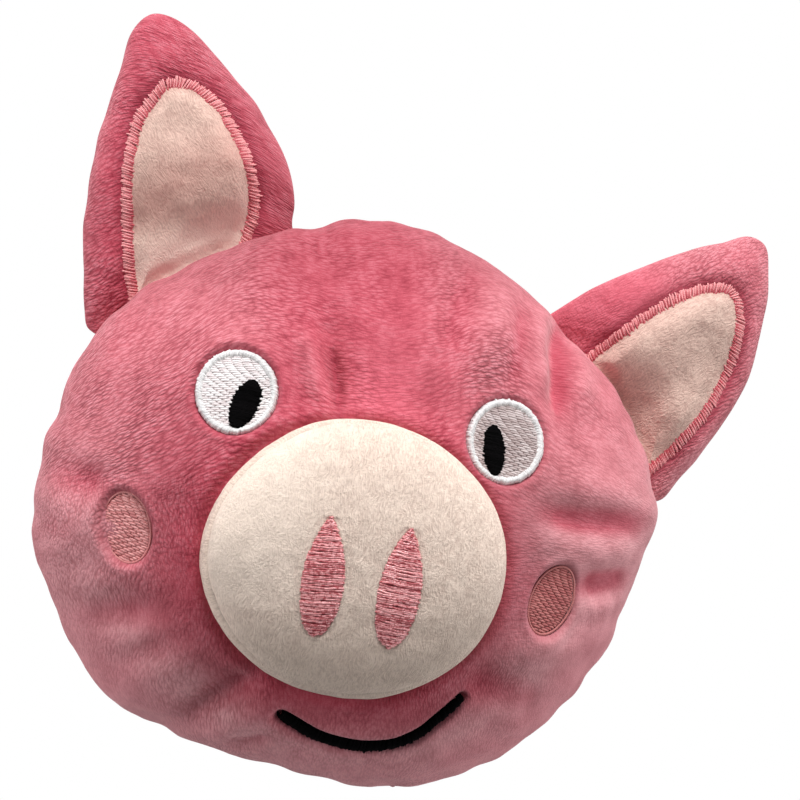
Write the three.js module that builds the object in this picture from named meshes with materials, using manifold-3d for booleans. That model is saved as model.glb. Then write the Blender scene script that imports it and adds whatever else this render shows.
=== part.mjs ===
// Round stuffed pig cushion, a cat toy filled with valerian, lying on its back with the face up.
// Millimetres. +Z is up out of the face and +Y points to the top of the pig's head. The origin is
// the middle of the flat patch on the back that the toy rests on.
import * as THREE from 'three';
import { mergeVertices } from 'three/addons/utils/BufferGeometryUtils.js';
import Module from 'manifold-3d';

const wasm = await Module();
wasm.setup();

// Head: two round plush panels joined by a seam all the way round
const HEAD_HALF_WIDTH = 38.5;
const HEAD_HALF_HEIGHT = 35;
const HEAD_WAVES = [[3, 0.6, -113], [4, 0.3, 83], [5, 0.65, 63]]; // swells round the rim, depth, degrees
const SEAM_LEVEL = 15.5; // height of the seam above the surface that the toy lies on
const FRONT_DEPTH = 20; // seam to the top of the front panel
const BACK_DEPTH = 16; // seam to the bottom of the back panel before it is pressed flat
const FULLNESS = 2.4; // 2 is a thin stuffing, more is fuller towards the rim
const GATHERS = 12; // puckers that the seam draws into the panels
const GATHER_DEPTH = 0.45;
const PLUSH = 2.2; // backing cloth and pile together
const ALLOWANCE = 6; // cloth turned in at the seam
const ALLOWANCE_THICKNESS = 0.8;
const SEAM_LINE = 1.6; // from the rim in to the stitches
const THREAD = 0.5; // thickness of a seam thread
const CLEARANCE = 0.3; // between pieces that touch

// Soft folds in the front panel: height (a valley is negative), half width, and a line of points, which are
// shares of the head's half width and height
const FOLDS = [
  { height: -1.5, width: 1.7, line: [[-0.171, 0.51], [-0.151, 0.435], [-0.13, 0.36]] },
  { height: -0.8, width: 2.3, line: [[0.27, 0.93], [0.235, 0.82], [0.2, 0.68], [0.19, 0.56]] },
  { height: -1.3, width: 1.8, line: [[0.56, 0.77], [0.565, 0.69], [0.57, 0.57], [0.575, 0.48]] },
  { height: 0.8, width: 2, line: [[0.67, 0.72], [0.655, 0.63], [0.655, 0.49]] },
  { height: 0.8, width: 2.4, line: [[0.6, 0.17], [0.7, 0.18], [0.84, 0.2]] },
  { height: -1.1, width: 2, line: [[0.6, 0.07], [0.7, 0.07], [0.81, 0.09], [0.94, 0.105]] },
  { height: -1.4, width: 1.6, line: [[0.78, -0.15], [0.84, -0.13], [0.93, -0.09]] },
  { height: -0.8, width: 2.6, line: [[0.43, -0.54], [0.57, -0.565], [0.7, -0.57]] },
  { height: -1.5, width: 1.9, line: [[-0.245, -0.68], [-0.325, -0.75], [-0.39, -0.83]] },
  { height: 1, width: 1.7, line: [[-0.15, -0.74], [-0.22, -0.81], [-0.31, -0.9]] },
  { height: -0.9, width: 2.2, line: [[-0.97, -0.075], [-0.88, -0.085], [-0.8, -0.095]] },
  { height: -0.7, width: 2.4, line: [[-0.85, -0.6], [-0.73, -0.545], [-0.6, -0.5]] },
  { height: -0.7, width: 2.2, line: [[-0.72, -0.75], [-0.62, -0.675], [-0.5, -0.6]] },
];
const FOLD_FADE = 12; // the higher, the closer to the rim the folds run

// Closing seam, sewn by hand where the filling goes in, under the chin
const CLOSING_FROM = -112;
const CLOSING_TO = -68;
const CLOSING_STITCHES = 9;
const CLOSING_REACH = 1.1; // from the seam up or down to where a stitch turns
const CLOSING_THREAD = 0.45;

// Sachet of valerian in the middle of the wadding
const SACHET_RADIUS = 13;
const SACHET_DEPTH = 5; // seam to the top of either half
const SACHET_CLOTH = 0.6;
const SACHET_EDGE = 1.6; // sewn edge round the sachet

// Snout: a side band and a domed front, sewn on below the middle of the face
const SNOUT_X = 0.0065 * HEAD_HALF_WIDTH;
const SNOUT_Y = -0.2043 * HEAD_HALF_HEIGHT;
const SNOUT_HALF_WIDTH = 18.15;
const SNOUT_HALF_HEIGHT = 16.1;
const SNOUT_EDGE = 39.5; // height of the seam between band and front
const SNOUT_TILT = 0.08; // the front leans down to the chin by this slope
const SNOUT_DOME = 5;
const SNOUT_FULLNESS = 2.3;
const SNOUT_CLOTH = 1.5;
const SNOUT_ALLOWANCE = 4;
const BAND_BULGE = 0.5;

// Embroidery, set down into the pile
const EMBROIDERY = 0.9; // thickness of a stitched patch
const SUNK = 0.3; // how far its top lies below the tips of the pile
const RIM_WIDTH = 0.75;
const RIM_RAISE = 0.2; // a satin rim stands above the patch inside it
const EYE_WIDTH = 9.8;
const EYE_HEIGHT = 10.4;
const PUPIL_WIDTH = 3.4;
const PUPIL_HEIGHT = 5.4;
const PUPIL_DEPTH = 0.3; // how deep the pupil is seated in the white
const PUPIL_THICKNESS = 0.4;
const CHEEK_WIDTH = 5.8;
const CHEEK_HEIGHT = 8.8;
const CHEEK_RIM = 0.5;
const NOSTRIL_WIDTH = 5.7;
const NOSTRIL_HEIGHT = 14.2;
const NOSTRIL_SEAT = 0.5; // how deep a nostril is seated in the snout
const NOSTRIL_THICKNESS = 0.7;
const MOUTH_WIDTH = 1.25;
const MOUTH_END_WIDTH = 0.8;
const MOUTH_LINE = [[-0.117, -0.771], [0.023, -0.829], [0.182, -0.831], [0.312, -0.769], [0.436, -0.609]];
// Places are shares of the head's half width and height, and a nostril's are shares of the snout's
const FACE = [
  { side: 'left', eye: [-0.439, 0.289], pupil: [-0.408, 0.26], pupilLean: -12,
    cheek: [-0.699, -0.231], cheekLean: 21, nostril: [-0.22, -0.183], nostrilLean: 3 },
  { side: 'right', eye: [0.421, 0.289], pupil: [0.39, 0.257], pupilLean: 10,
    cheek: [0.665, -0.223], cheekLean: -15, nostril: [0.278, -0.171], nostrilLean: 0 },
];

// Ears: each is sewn over an arc of the rim, from its outer end to its crown end, in degrees. Its points
// are [toward the crown, outward] from the middle of the chord between those ends, as shares of EAR_LENGTH.
const EAR_LENGTH = 32; // of the left ear; the right one is shorter
const EAR_FRONT_DEPTH = 4.2;
const EAR_BACK_DEPTH = 3.4;
const EAR_FULLNESS = 2.4;
const EAR_PLUSH = 1.8;
const EAR_SEAM = 1.2; // width of the sewn edge
const EAR_ROOT_SHARE = 0.4; // how thin an ear is at its root
const EAR_ROOT_REACH = 9; // from the root to where an ear is full
const LINING_THICKNESS = 0.6;
const LINING_ROOT = 1.5; // from the root to the lining
const BORDER_WIDTH = 1.3;
const BORDER_RAISE = 0.2;
const EARS = [
  { side: 'left', mirror: 1, outerEnd: 156, crownEnd: 111, middle: [0.125, 0.406],
    edge: [[-0.341, 0.244], [-0.203, 0.484], [-0.028, 0.703], [0.138, 0.887], [0.309, 1], [0.444, 0.887],
      [0.506, 0.647], [0.55, 0.306], [0.512, 0.106]],
    liningEnds: [0.21, 0.86], liningMiddle: [0.125, 0.375],
    border: [[-0.169, 0.275], [-0.031, 0.512], [0.109, 0.666], [0.247, 0.725], [0.35, 0.644],
      [0.419, 0.453], [0.412, 0.272]] },
  { side: 'right', mirror: -1, outerEnd: 10.7, crownEnd: 52.9, middle: [0.078, 0.375],
    edge: [[-0.35, 0.234], [-0.206, 0.509], [-0.016, 0.734], [0.141, 0.85], [0.256, 0.884],
      [0.331, 0.797], [0.381, 0.562], [0.425, 0.297], [0.434, 0.125]],
    liningEnds: [0.16, 0.78], liningMiddle: [0, 0.344],
    border: [[-0.225, 0.347], [-0.091, 0.531], [0.047, 0.641], [0.153, 0.666], [0.231, 0.575],
      [0.269, 0.394], [0.269, 0.237]] },
];

// Faces round each kind of outline
const HEAD_STEPS = 48;
const FRONT_STEPS = 72; // the front panel is finer, for its folds
const HIDDEN_STEPS = 24;
const SNOUT_STEPS = 32;
const OVAL_STEPS = 18;
const EAR_STEPS = 18;
const ROOT_STEPS = 6;
const MOUTH_STEPS = 12;

const HALF_GAP = CLEARANCE / 2;
const radians = THREE.MathUtils.degToRad;

// Cloths and threads
const cloth = (color, roughness = 0.95) => new THREE.MeshStandardMaterial({ color, roughness, metalness: 0 });
const MATERIALS = {
  plush: () => cloth('#dd6f82'),
  velour: () => cloth('#e6cbb9'),
  lining: () => cloth('#dcb6a4'),
  pinkThread: () => cloth('#d98a90', 0.5),
  whiteThread: () => cloth('#f4f0ee', 0.45),
  blackThread: () => cloth('#0c0b0c', 0.5),
  wadding: () => cloth('#f2f1ec', 1),
  sachet: () => cloth('#efe9dc'),
  valerian: () => cloth('#7a6244', 1),
};

function piece(name, material, geometry) {
  const mesh = new THREE.Mesh(geometry, MATERIALS[material]());
  mesh.name = name;
  return mesh;
}

// Solid from vertices and triangles, turned so that its faces point out
function solid(vertices, triangles) {
  const corner = (i) => new THREE.Vector3(...vertices[i]);
  let volume = 0;
  for (const [a, b, c] of triangles) volume += corner(a).dot(corner(b).cross(corner(c)));
  const faces = volume < 0 ? triangles.map(([a, b, c]) => [a, c, b]) : triangles;
  const geometry = new THREE.BufferGeometry();
  geometry.setAttribute('position', new THREE.Float32BufferAttribute(vertices.flat(), 3));
  geometry.setIndex(faces.flat());
  return geometry;
}

// Body lofted through rings that are shares of one outline about its middle. Each ring is
// [share, inset, level], where level is a height or a function of x, y and share, and share 0 is a pole.
// Rings run over the outside and back through the inside; a hollow body joins its last ring to its first.
function loftRound(outline, middle, rings, hollow = false) {
  const vertices = [];
  const starts = [];
  for (const [share, inset, level] of rings) {
    starts.push(vertices.length);
    const around = share === 0 ? [middle] : outline;
    for (const [px, py] of around) {
      const reach = Math.hypot(px - middle[0], py - middle[1]) || 1;
      const scale = share * (1 - inset / reach);
      const x = middle[0] + (px - middle[0]) * scale;
      const y = middle[1] + (py - middle[1]) * scale;
      vertices.push([x, y, typeof level === 'function' ? level(x, y, share) : level]);
    }
  }
  const triangles = [];
  const bands = hollow ? rings.length : rings.length - 1;
  for (let band = 0; band < bands; band++) {
    const next = (band + 1) % rings.length;
    for (let i = 0; i < outline.length; i++) {
      const j = (i + 1) % outline.length;
      const [a, b] = rings[band][0] === 0 ? [0, 0] : [i, j];
      const [d, c] = rings[next][0] === 0 ? [0, 0] : [i, j];
      if (a !== b) triangles.push([starts[band] + a, starts[next] + d, starts[band] + b]);
      if (c !== d) triangles.push([starts[band] + b, starts[next] + d, starts[next] + c]);
    }
  }
  return solid(vertices, triangles);
}

// Plate that lies on a curved surface, from one height above it to another
function patch(outline, middle, surface, top, bottom) {
  const above = (x, y) => surface(x, y) + top;
  const below = (x, y) => surface(x, y) + bottom;
  return loftRound(outline, middle, [
    ...[0, 0.55, 1].map((share) => [share, 0, above]),
    ...[1, 0.55, 0].map((share) => [share, 0, below]),
  ]);
}

// Faces of a four-sided bar whose corners come four by four along it
function addSides(triangles, spans, closed) {
  for (let i = 0; i < spans; i++) {
    const here = i * 4;
    const there = closed && i === spans - 1 ? 0 : here + 4;
    for (let k = 0; k < 4; k++) {
      const n = (k + 1) % 4;
      triangles.push([here + k, here + n, there + n], [here + k, there + n, there + k]);
    }
  }
  if (closed) return;
  const end = spans * 4;
  triangles.push([0, 2, 1], [0, 3, 2], [end, end + 1, end + 2], [end, end + 2, end + 3]);
}

// Flat ribbon laid along a path on a curved surface; width is a function of the share of the path
function ribbon(path, closed, width, surface, top, bottom) {
  const vertices = [];
  const triangles = [];
  const last = path.length - 1;
  const at = (i) => (closed ? path[(i + path.length) % path.length] : path[Math.min(last, Math.max(0, i))]);
  path.forEach(([x, y], i) => {
    const along = new THREE.Vector2(at(i + 1)[0] - at(i - 1)[0], at(i + 1)[1] - at(i - 1)[1]).normalize();
    const half = width(i / last) / 2;
    for (const [side, rise] of [[1, top], [-1, top], [-1, bottom], [1, bottom]]) {
      const px = x - along.y * half * side;
      const py = y + along.x * half * side;
      vertices.push([px, py, surface(px, py) + rise]);
    }
  });
  addSides(triangles, closed ? path.length : last, closed);
  return solid(vertices, triangles);
}

// Cuts pockets out of a piece
function cutOut(geometry, cutters) {
  const asManifold = (source) => {
    const bare = source.clone();
    bare.deleteAttribute('normal');
    bare.deleteAttribute('uv');
    const merged = mergeVertices(bare, 1e-4);
    return new wasm.Manifold(new wasm.Mesh({
      numProp: 3,
      vertProperties: new Float32Array(merged.attributes.position.array),
      triVerts: new Uint32Array(merged.index.array),
    }));
  };
  let body = asManifold(geometry);
  for (const cutter of cutters) body = body.subtract(asManifold(cutter));
  const mesh = body.getMesh();
  const result = new THREE.BufferGeometry();
  result.setAttribute('position', new THREE.BufferAttribute(new Float32Array(mesh.vertProperties), 3));
  result.setIndex([...mesh.triVerts]);
  return result;
}

// Outlines
function roundOutline(radiusAt, steps, middle = [0, 0]) {
  return Array.from({ length: steps }, (_, i) => {
    const angle = (i / steps) * 2 * Math.PI;
    const radius = radiusAt(angle);
    return [middle[0] + radius * Math.cos(angle), middle[1] + radius * Math.sin(angle)];
  });
}

function oval([x, y], width, height, lean = 0, steps = OVAL_STEPS) {
  const turn = radians(lean);
  return roundOutline(() => 1, steps).map(([u, v]) => {
    const a = (u * width) / 2;
    const b = (v * height) / 2;
    return [x + a * Math.cos(turn) - b * Math.sin(turn), y + a * Math.sin(turn) + b * Math.cos(turn)];
  });
}

function smoothPath(points, steps) {
  const spline = new THREE.SplineCurve(points.map(([x, y]) => new THREE.Vector2(x, y)));
  return spline.getSpacedPoints(steps).map((point) => [point.x, point.y]);
}

// Path moved to its left, when distance is positive
function offsetPath(path, distance) {
  return path.map(([x, y], i) => {
    const before = path[Math.max(0, i - 1)];
    const after = path[Math.min(path.length - 1, i + 1)];
    const along = new THREE.Vector2(after[0] - before[0], after[1] - before[1]).normalize();
    return [x - along.y * distance, y + along.x * distance];
  });
}

// Rise of a stuffed panel, 1 in the middle and 0 at its rim
const swell = (share, fullness) => Math.sqrt(Math.max(0, 1 - Math.min(1, share) ** fullness));

function ellipseRadius(angle, halfWidth, halfHeight) {
  return (halfWidth * halfHeight) / Math.hypot(halfHeight * Math.cos(angle), halfWidth * Math.sin(angle));
}

// Section of the cloth at a seam: a groove for the stitches between the rim and the turned-in edge
function groovedEdge(seam, direction) {
  const near = HALF_GAP * direction;
  const deep = (HALF_GAP + THREAD / 2 + HALF_GAP) * direction;
  const from = SEAM_LINE - THREAD / 2 - CLEARANCE;
  const to = SEAM_LINE + THREAD / 2 + CLEARANCE;
  return [[1, from, seam(near)], [1, from, seam(deep)], [1, to, seam(deep)], [1, to, seam(near)]];
}

// Thread ring that lies in the grooves of two panels
function seamThread(outline, middle, seam) {
  const half = THREAD / 2;
  const rings = [[1, SEAM_LINE - half, seam(0)], [1, SEAM_LINE, seam(half)],
    [1, SEAM_LINE + half, seam(0)], [1, SEAM_LINE, seam(-half)]];
  return loftRound(outline, middle, rings, true);
}

// Head
const CENTRE = [0, 0];
const onHead = ([across, up]) => [across * HEAD_HALF_WIDTH, up * HEAD_HALF_HEIGHT];

function headRim(angle) {
  let radius = ellipseRadius(angle, HEAD_HALF_WIDTH, HEAD_HALF_HEIGHT);
  for (const [count, depth, turn] of HEAD_WAVES) radius += depth * Math.cos(count * angle - radians(turn));
  return radius;
}

const headSeam = (height) => () => SEAM_LEVEL + height;

// Height of a head surface; direction is 1 for the front and -1 for the back, which is pressed flat below
function headLevel(direction, depth, gatherDepth = 0) {
  return (x, y, share = Math.hypot(x, y) / headRim(Math.atan2(y, x))) => {
    const near = Math.min(1, share) ** 5;
    const pucker = gatherDepth * 4 * near * (1 - near) * Math.cos(GATHERS * Math.atan2(y, x));
    const height = Math.max(HALF_GAP, depth * swell(share, FULLNESS) - pucker);
    return Math.max(0, SEAM_LEVEL + direction * height);
  };
}

const foldLines = FOLDS.map(({ line }) => {
  const spots = line.map((spot) => new THREE.Vector3(...onHead(spot), 0));
  return spots.slice(1).map((end, i) => new THREE.Line3(spots[i], end));
});

function foldRise(x, y, share) {
  const spot = new THREE.Vector3(x, y, 0);
  const nearest = new THREE.Vector3();
  const distance = (span) => span.closestPointToPoint(spot, true, nearest).distanceTo(spot);
  const rise = FOLDS.reduce((sum, { height, width }, i) => {
    const away = Math.min(...foldLines[i].map(distance));
    return sum + height * Math.exp(-((away / width) ** 2));
  }, 0);
  return rise * (1 - Math.min(1, share) ** FOLD_FADE);
}

// Outside of the front panel, which carries the face
const plainFace = headLevel(1, FRONT_DEPTH, GATHER_DEPTH);
function faceLevel(x, y, share = Math.hypot(x, y) / headRim(Math.atan2(y, x))) {
  return Math.max(SEAM_LEVEL + HALF_GAP, plainFace(x, y, share) + foldRise(x, y, share));
}

const headOutline = roundOutline(headRim, HEAD_STEPS);
const frontOutline = roundOutline(headRim, FRONT_STEPS);
const hiddenOutline = roundOutline(headRim, HIDDEN_STEPS);

function headPanel(direction, depth, outline, outside, shares) {
  const inside = headLevel(direction, depth - PLUSH);
  const turnedIn = direction * (HALF_GAP + ALLOWANCE_THICKNESS);
  return loftRound(outline, CENTRE, [
    [0, 0, outside],
    ...shares.map((share) => [share, 0, outside]),
    [1, 0, headSeam(direction * HALF_GAP)],
    ...groovedEdge(headSeam, direction),
    [1, ALLOWANCE, headSeam(direction * HALF_GAP)],
    [1, ALLOWANCE, headSeam(turnedIn)],
    [1, PLUSH, headSeam(turnedIn)],
    ...[0.985, 0.93, 0.8, 0.6, 0.35].map((share) => [share, PLUSH, inside]),
    [0, 0, inside],
  ]);
}

function frontPanel() {
  const shares = [0.2, 0.38, 0.48, 0.56, 0.63, 0.7, 0.76, 0.82, 0.875, 0.92, 0.96, 0.99];
  return headPanel(1, FRONT_DEPTH, frontOutline, faceLevel, shares);
}

function backPanel() {
  const flatShare = (1 - Math.min(1, SEAM_LEVEL / BACK_DEPTH) ** 2) ** (1 / FULLNESS);
  const shares = [0.4, 0.58, 0.72, 0.83, 0.91, 0.965, 0.99].filter((share) => share > flatShare + 0.05);
  const outside = headLevel(-1, BACK_DEPTH, GATHER_DEPTH);
  return headPanel(-1, BACK_DEPTH, headOutline, outside, [flatShare, ...shares]);
}

// Half of the wadding, with a hollow for half of the sachet
function waddingHalf(direction, depth) {
  const inset = PLUSH + CLEARANCE;
  const outside = headLevel(direction, depth - inset);
  const innerEdge = ALLOWANCE + CLEARANCE;
  const overAllowance = HALF_GAP + ALLOWANCE_THICKNESS + CLEARANCE;
  const block = loftRound(hiddenOutline, CENTRE, [
    [0, 0, outside],
    ...[0.35, 0.6, 0.8, 0.93].map((share) => [share, inset, outside]),
    [1, innerEdge, headSeam(direction * overAllowance)],
    [1, innerEdge, headSeam(direction * HALF_GAP)],
    [0, 0, headSeam(direction * HALF_GAP)],
  ]);
  const roof = sachetLevel(direction, SACHET_DEPTH + CLEARANCE);
  const below = headSeam(-direction);
  const hollow = roundOutline(() => SACHET_RADIUS + CLEARANCE, HIDDEN_STEPS);
  return cutOut(block, [loftRound(hollow, CENTRE, [[0, 0, roof], [0.5, 0, roof], [0.85, 0, roof],
    [1, 0, headSeam(direction * (HALF_GAP + CLEARANCE))], [1, 0, below], [0, 0, below]])]);
}

function sachetLevel(direction, depth) {
  return (x, y, share) => SEAM_LEVEL + direction * (HALF_GAP + (depth - HALF_GAP) * swell(share, 2));
}

// Half of the sachet: a thin domed cloth with a flat sewn edge
function sachetHalf(direction) {
  const outside = sachetLevel(direction, SACHET_DEPTH);
  const inside = sachetLevel(direction, SACHET_DEPTH - SACHET_CLOTH);
  const shares = [0.85, 0.5, 0];
  return loftRound(roundOutline(() => SACHET_RADIUS, HIDDEN_STEPS), CENTRE, [
    ...shares.toReversed().map((share) => [share, 0, outside]),
    [1, 0, outside],
    [1, SACHET_EDGE, inside],
    ...shares.map((share) => [share, SACHET_EDGE, inside]),
  ]);
}

function valerianRoot() {
  const level = (direction) => sachetLevel(direction, SACHET_DEPTH - SACHET_CLOTH - CLEARANCE);
  const radius = SACHET_RADIUS - SACHET_EDGE - CLEARANCE;
  const shares = [0, 0.5, 0.85, 1];
  return loftRound(roundOutline(() => radius, HIDDEN_STEPS), CENTRE, [
    ...shares.map((share) => [share, 0, level(1)]),
    ...shares.toReversed().map((share) => [share, 0, level(-1)]),
  ]);
}

// Hand-sewn zigzag that closes the opening, just outside the rim
function closingThread() {
  const half = CLOSING_THREAD / 2;
  const turns = 2 * CLOSING_STITCHES;
  const vertices = [];
  const triangles = [];
  for (let i = 0; i <= turns; i++) {
    const angle = radians(THREE.MathUtils.lerp(CLOSING_FROM, CLOSING_TO, i / turns));
    const out = headRim(angle) + CLEARANCE + half;
    const height = SEAM_LEVEL + CLOSING_REACH * (i % 2 ? 1 : -1);
    for (const [outward, upward] of [[half, 0], [0, half], [-half, 0], [0, -half]]) {
      const radius = out + outward;
      vertices.push([radius * Math.cos(angle), radius * Math.sin(angle), height + upward]);
    }
  }
  addSides(triangles, turns, false);
  return solid(vertices, triangles);
}

// Embroidered patch with its satin rim, and the pocket in the cloth that both are seated in
function embroidered(centre, width, height, lean, rimWidth) {
  const grown = (by) => oval(centre, width + 2 * by, height + 2 * by, lean);
  const bottom = -SUNK - EMBROIDERY;
  return {
    fill: patch(grown(-rimWidth - HALF_GAP), centre, faceLevel, -SUNK, bottom),
    rim: ribbon(grown(-rimWidth / 2), true, () => rimWidth - HALF_GAP, faceLevel, RIM_RAISE - SUNK, bottom),
    pocket: patch(grown(CLEARANCE), centre, faceLevel, PLUSH, bottom - CLEARANCE),
  };
}

function buildEye({ side, eye, pupil, pupilLean }) {
  const { fill, rim, pocket } = embroidered(onHead(eye), EYE_WIDTH, EYE_HEIGHT, 0, RIM_WIDTH);
  const middle = onHead(pupil);
  const pupilOval = (by) => oval(middle, PUPIL_WIDTH + 2 * by, PUPIL_HEIGHT + 2 * by, pupilLean);
  const seat = -SUNK - PUPIL_DEPTH;
  const pupilBottom = seat + HALF_GAP;
  const white = cutOut(fill, [patch(pupilOval(HALF_GAP), middle, faceLevel, PLUSH, seat)]);
  const iris = patch(pupilOval(0), middle, faceLevel, pupilBottom + PUPIL_THICKNESS, pupilBottom);
  return {
    pocket,
    pieces: [piece(`eye_white_${side}`, 'whiteThread', white), piece(`eye_rim_${side}`, 'whiteThread', rim),
      piece(`pupil_${side}`, 'blackThread', iris)],
  };
}

function buildCheek({ side, cheek, cheekLean }) {
  const { fill, rim, pocket } = embroidered(onHead(cheek), CHEEK_WIDTH, CHEEK_HEIGHT, cheekLean, CHEEK_RIM);
  return {
    pocket,
    pieces: [piece(`cheek_${side}`, 'pinkThread', fill), piece(`cheek_rim_${side}`, 'pinkThread', rim)],
  };
}

function buildMouth() {
  const bottom = -SUNK - EMBROIDERY;
  const line = smoothPath(MOUTH_LINE.map(onHead), MOUTH_STEPS);
  const width = (extra) => (share) => THREE.MathUtils.lerp(MOUTH_WIDTH, MOUTH_END_WIDTH, share ** 3) + extra;
  const smile = ribbon(line, false, width(0), faceLevel, RIM_RAISE - SUNK, bottom);
  const beyond = ([ax, ay], [bx, by]) => {
    const length = Math.hypot(bx - ax, by - ay);
    return [bx + ((bx - ax) * CLEARANCE) / length, by + ((by - ay) * CLEARANCE) / length];
  };
  const slot = [beyond(line[1], line[0]), ...line.slice(1, -1), beyond(line.at(-2), line.at(-1))];
  const pocket = ribbon(slot, false, width(2 * CLEARANCE), faceLevel, PLUSH, bottom - CLEARANCE);
  return { pocket, pieces: [piece('mouth', 'blackThread', smile)] };
}

function buildHead() {
  const features = [...FACE.flatMap((half) => [buildEye(half), buildCheek(half)]), buildMouth()];
  const front = cutOut(frontPanel(), features.map((feature) => feature.pocket));
  return new THREE.Group().add(
    piece('head_front_panel', 'plush', front),
    piece('head_back_panel', 'plush', backPanel()),
    piece('head_seam_thread', 'pinkThread', seamThread(headOutline, CENTRE, headSeam)),
    piece('closing_thread', 'pinkThread', closingThread()),
    piece('wadding_front', 'wadding', waddingHalf(1, FRONT_DEPTH)),
    piece('wadding_back', 'wadding', waddingHalf(-1, BACK_DEPTH)),
    piece('sachet_front', 'sachet', sachetHalf(1)),
    piece('sachet_back', 'sachet', sachetHalf(-1)),
    piece('valerian_root', 'valerian', valerianRoot()),
    ...features.flatMap((feature) => feature.pieces),
  );
}

// Snout
const SNOUT_CENTRE = [SNOUT_X, SNOUT_Y];
const snoutRim = (angle) => ellipseRadius(angle, SNOUT_HALF_WIDTH, SNOUT_HALF_HEIGHT);
const snoutOutline = roundOutline(snoutRim, SNOUT_STEPS, SNOUT_CENTRE);
const snoutSeam = (height) => (x, y) => SNOUT_EDGE + SNOUT_TILT * (y - SNOUT_Y) + height;
const onFace = (height) => (x, y) => faceLevel(x, y) + CLEARANCE + height;

function snoutLevel(depth) {
  return (x, y, share) => {
    const [dx, dy] = [x - SNOUT_X, y - SNOUT_Y];
    const reached = share ?? Math.hypot(dx, dy) / snoutRim(Math.atan2(dy, dx));
    return snoutSeam(HALF_GAP + depth * swell(reached, SNOUT_FULLNESS))(x, y);
  };
}

function snoutFront() {
  const outside = snoutLevel(SNOUT_DOME);
  const inside = snoutLevel(SNOUT_DOME - SNOUT_CLOTH);
  return loftRound(snoutOutline, SNOUT_CENTRE, [
    [0, 0, outside],
    ...[0.3, 0.55, 0.75, 0.89, 0.97].map((share) => [share, 0, outside]),
    [1, 0, snoutSeam(HALF_GAP)],
    ...groovedEdge(snoutSeam, 1),
    [1, SNOUT_ALLOWANCE, snoutSeam(HALF_GAP)],
    ...[0.85, 0.5, 0].map((share) => [share, SNOUT_ALLOWANCE, inside]),
  ]);
}

function snoutBand() {
  const turnedIn = HALF_GAP + ALLOWANCE_THICKNESS;
  const halfway = (x, y) => (onFace(0)(x, y) + snoutSeam(0)(x, y)) / 2;
  return loftRound(snoutOutline, SNOUT_CENTRE, [
    [1, 0, onFace(0)],
    [1, -BAND_BULGE, halfway],
    [1, 0, snoutSeam(-HALF_GAP)],
    ...groovedEdge(snoutSeam, -1),
    [1, SNOUT_ALLOWANCE, snoutSeam(-HALF_GAP)],
    [1, SNOUT_ALLOWANCE, snoutSeam(-turnedIn)],
    [1, SNOUT_CLOTH, snoutSeam(-turnedIn)],
    [1, SNOUT_CLOTH, onFace(ALLOWANCE_THICKNESS)],
    [1, SNOUT_ALLOWANCE, onFace(ALLOWANCE_THICKNESS)],
    [1, SNOUT_ALLOWANCE, onFace(0)],
  ], true);
}

function snoutFilling() {
  const inset = SNOUT_ALLOWANCE + CLEARANCE;
  const roof = snoutLevel(SNOUT_DOME - SNOUT_CLOTH - CLEARANCE);
  return loftRound(snoutOutline, SNOUT_CENTRE, [
    ...[0, 0.5, 0.85].map((share) => [share, inset, roof]),
    [1, inset, snoutSeam(HALF_GAP)],
    ...[1, 0.5, 0].map((share) => [share, inset, onFace(0)]),
  ]);
}

function buildSnout() {
  const outside = snoutLevel(SNOUT_DOME);
  const surface = (x, y) => outside(x, y);
  const bottom = CLEARANCE - NOSTRIL_SEAT;
  const nostrils = FACE.map(({ side, nostril, nostrilLean }) => {
    const centre = [SNOUT_X + nostril[0] * SNOUT_HALF_WIDTH, SNOUT_Y + nostril[1] * SNOUT_HALF_HEIGHT];
    const shape = (by) => oval(centre, NOSTRIL_WIDTH + 2 * by, NOSTRIL_HEIGHT + 2 * by, nostrilLean);
    return {
      pocket: patch(shape(CLEARANCE), centre, surface, PLUSH, -NOSTRIL_SEAT),
      mesh: piece(`nostril_${side}`, 'pinkThread',
        patch(shape(0), centre, surface, bottom + NOSTRIL_THICKNESS, bottom)),
    };
  });
  return new THREE.Group().add(
    piece('snout_front_panel', 'velour', cutOut(snoutFront(), nostrils.map((nostril) => nostril.pocket))),
    piece('snout_side_band', 'velour', snoutBand()),
    piece('snout_seam_thread', 'whiteThread', seamThread(snoutOutline, SNOUT_CENTRE, snoutSeam)),
    piece('snout_filling', 'wadding', snoutFilling()),
    ...nostrils.map((nostril) => nostril.mesh),
  );
}

// Frame of an ear: its origin is the middle of the root's chord, at the seam, and its +Y points outward.
// rootArc gives the line that runs a distance outside the rim, between two shares of the root.
function earFrame({ outerEnd, crownEnd, mirror }) {
  const onRim = (share, out) => {
    const angle = radians(THREE.MathUtils.lerp(outerEnd, crownEnd, share));
    const radius = headRim(angle) + out;
    return new THREE.Vector2(radius * Math.cos(angle), radius * Math.sin(angle));
  };
  const origin = onRim(0, 0).add(onRim(1, 0)).multiplyScalar(0.5);
  const across = onRim(1, 0).sub(onRim(0, 0)).normalize().multiplyScalar(mirror);
  const outward = new THREE.Vector2(-across.y, across.x);
  const rootArc = (out, from, to) => Array.from({ length: ROOT_STEPS + 1 }, (_, i) => {
    const offset = onRim(THREE.MathUtils.lerp(from, to, i / ROOT_STEPS), out).sub(origin);
    return [offset.dot(across), offset.dot(outward)];
  });
  return { origin, turn: Math.atan2(across.y, across.x), rootArc };
}

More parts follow.
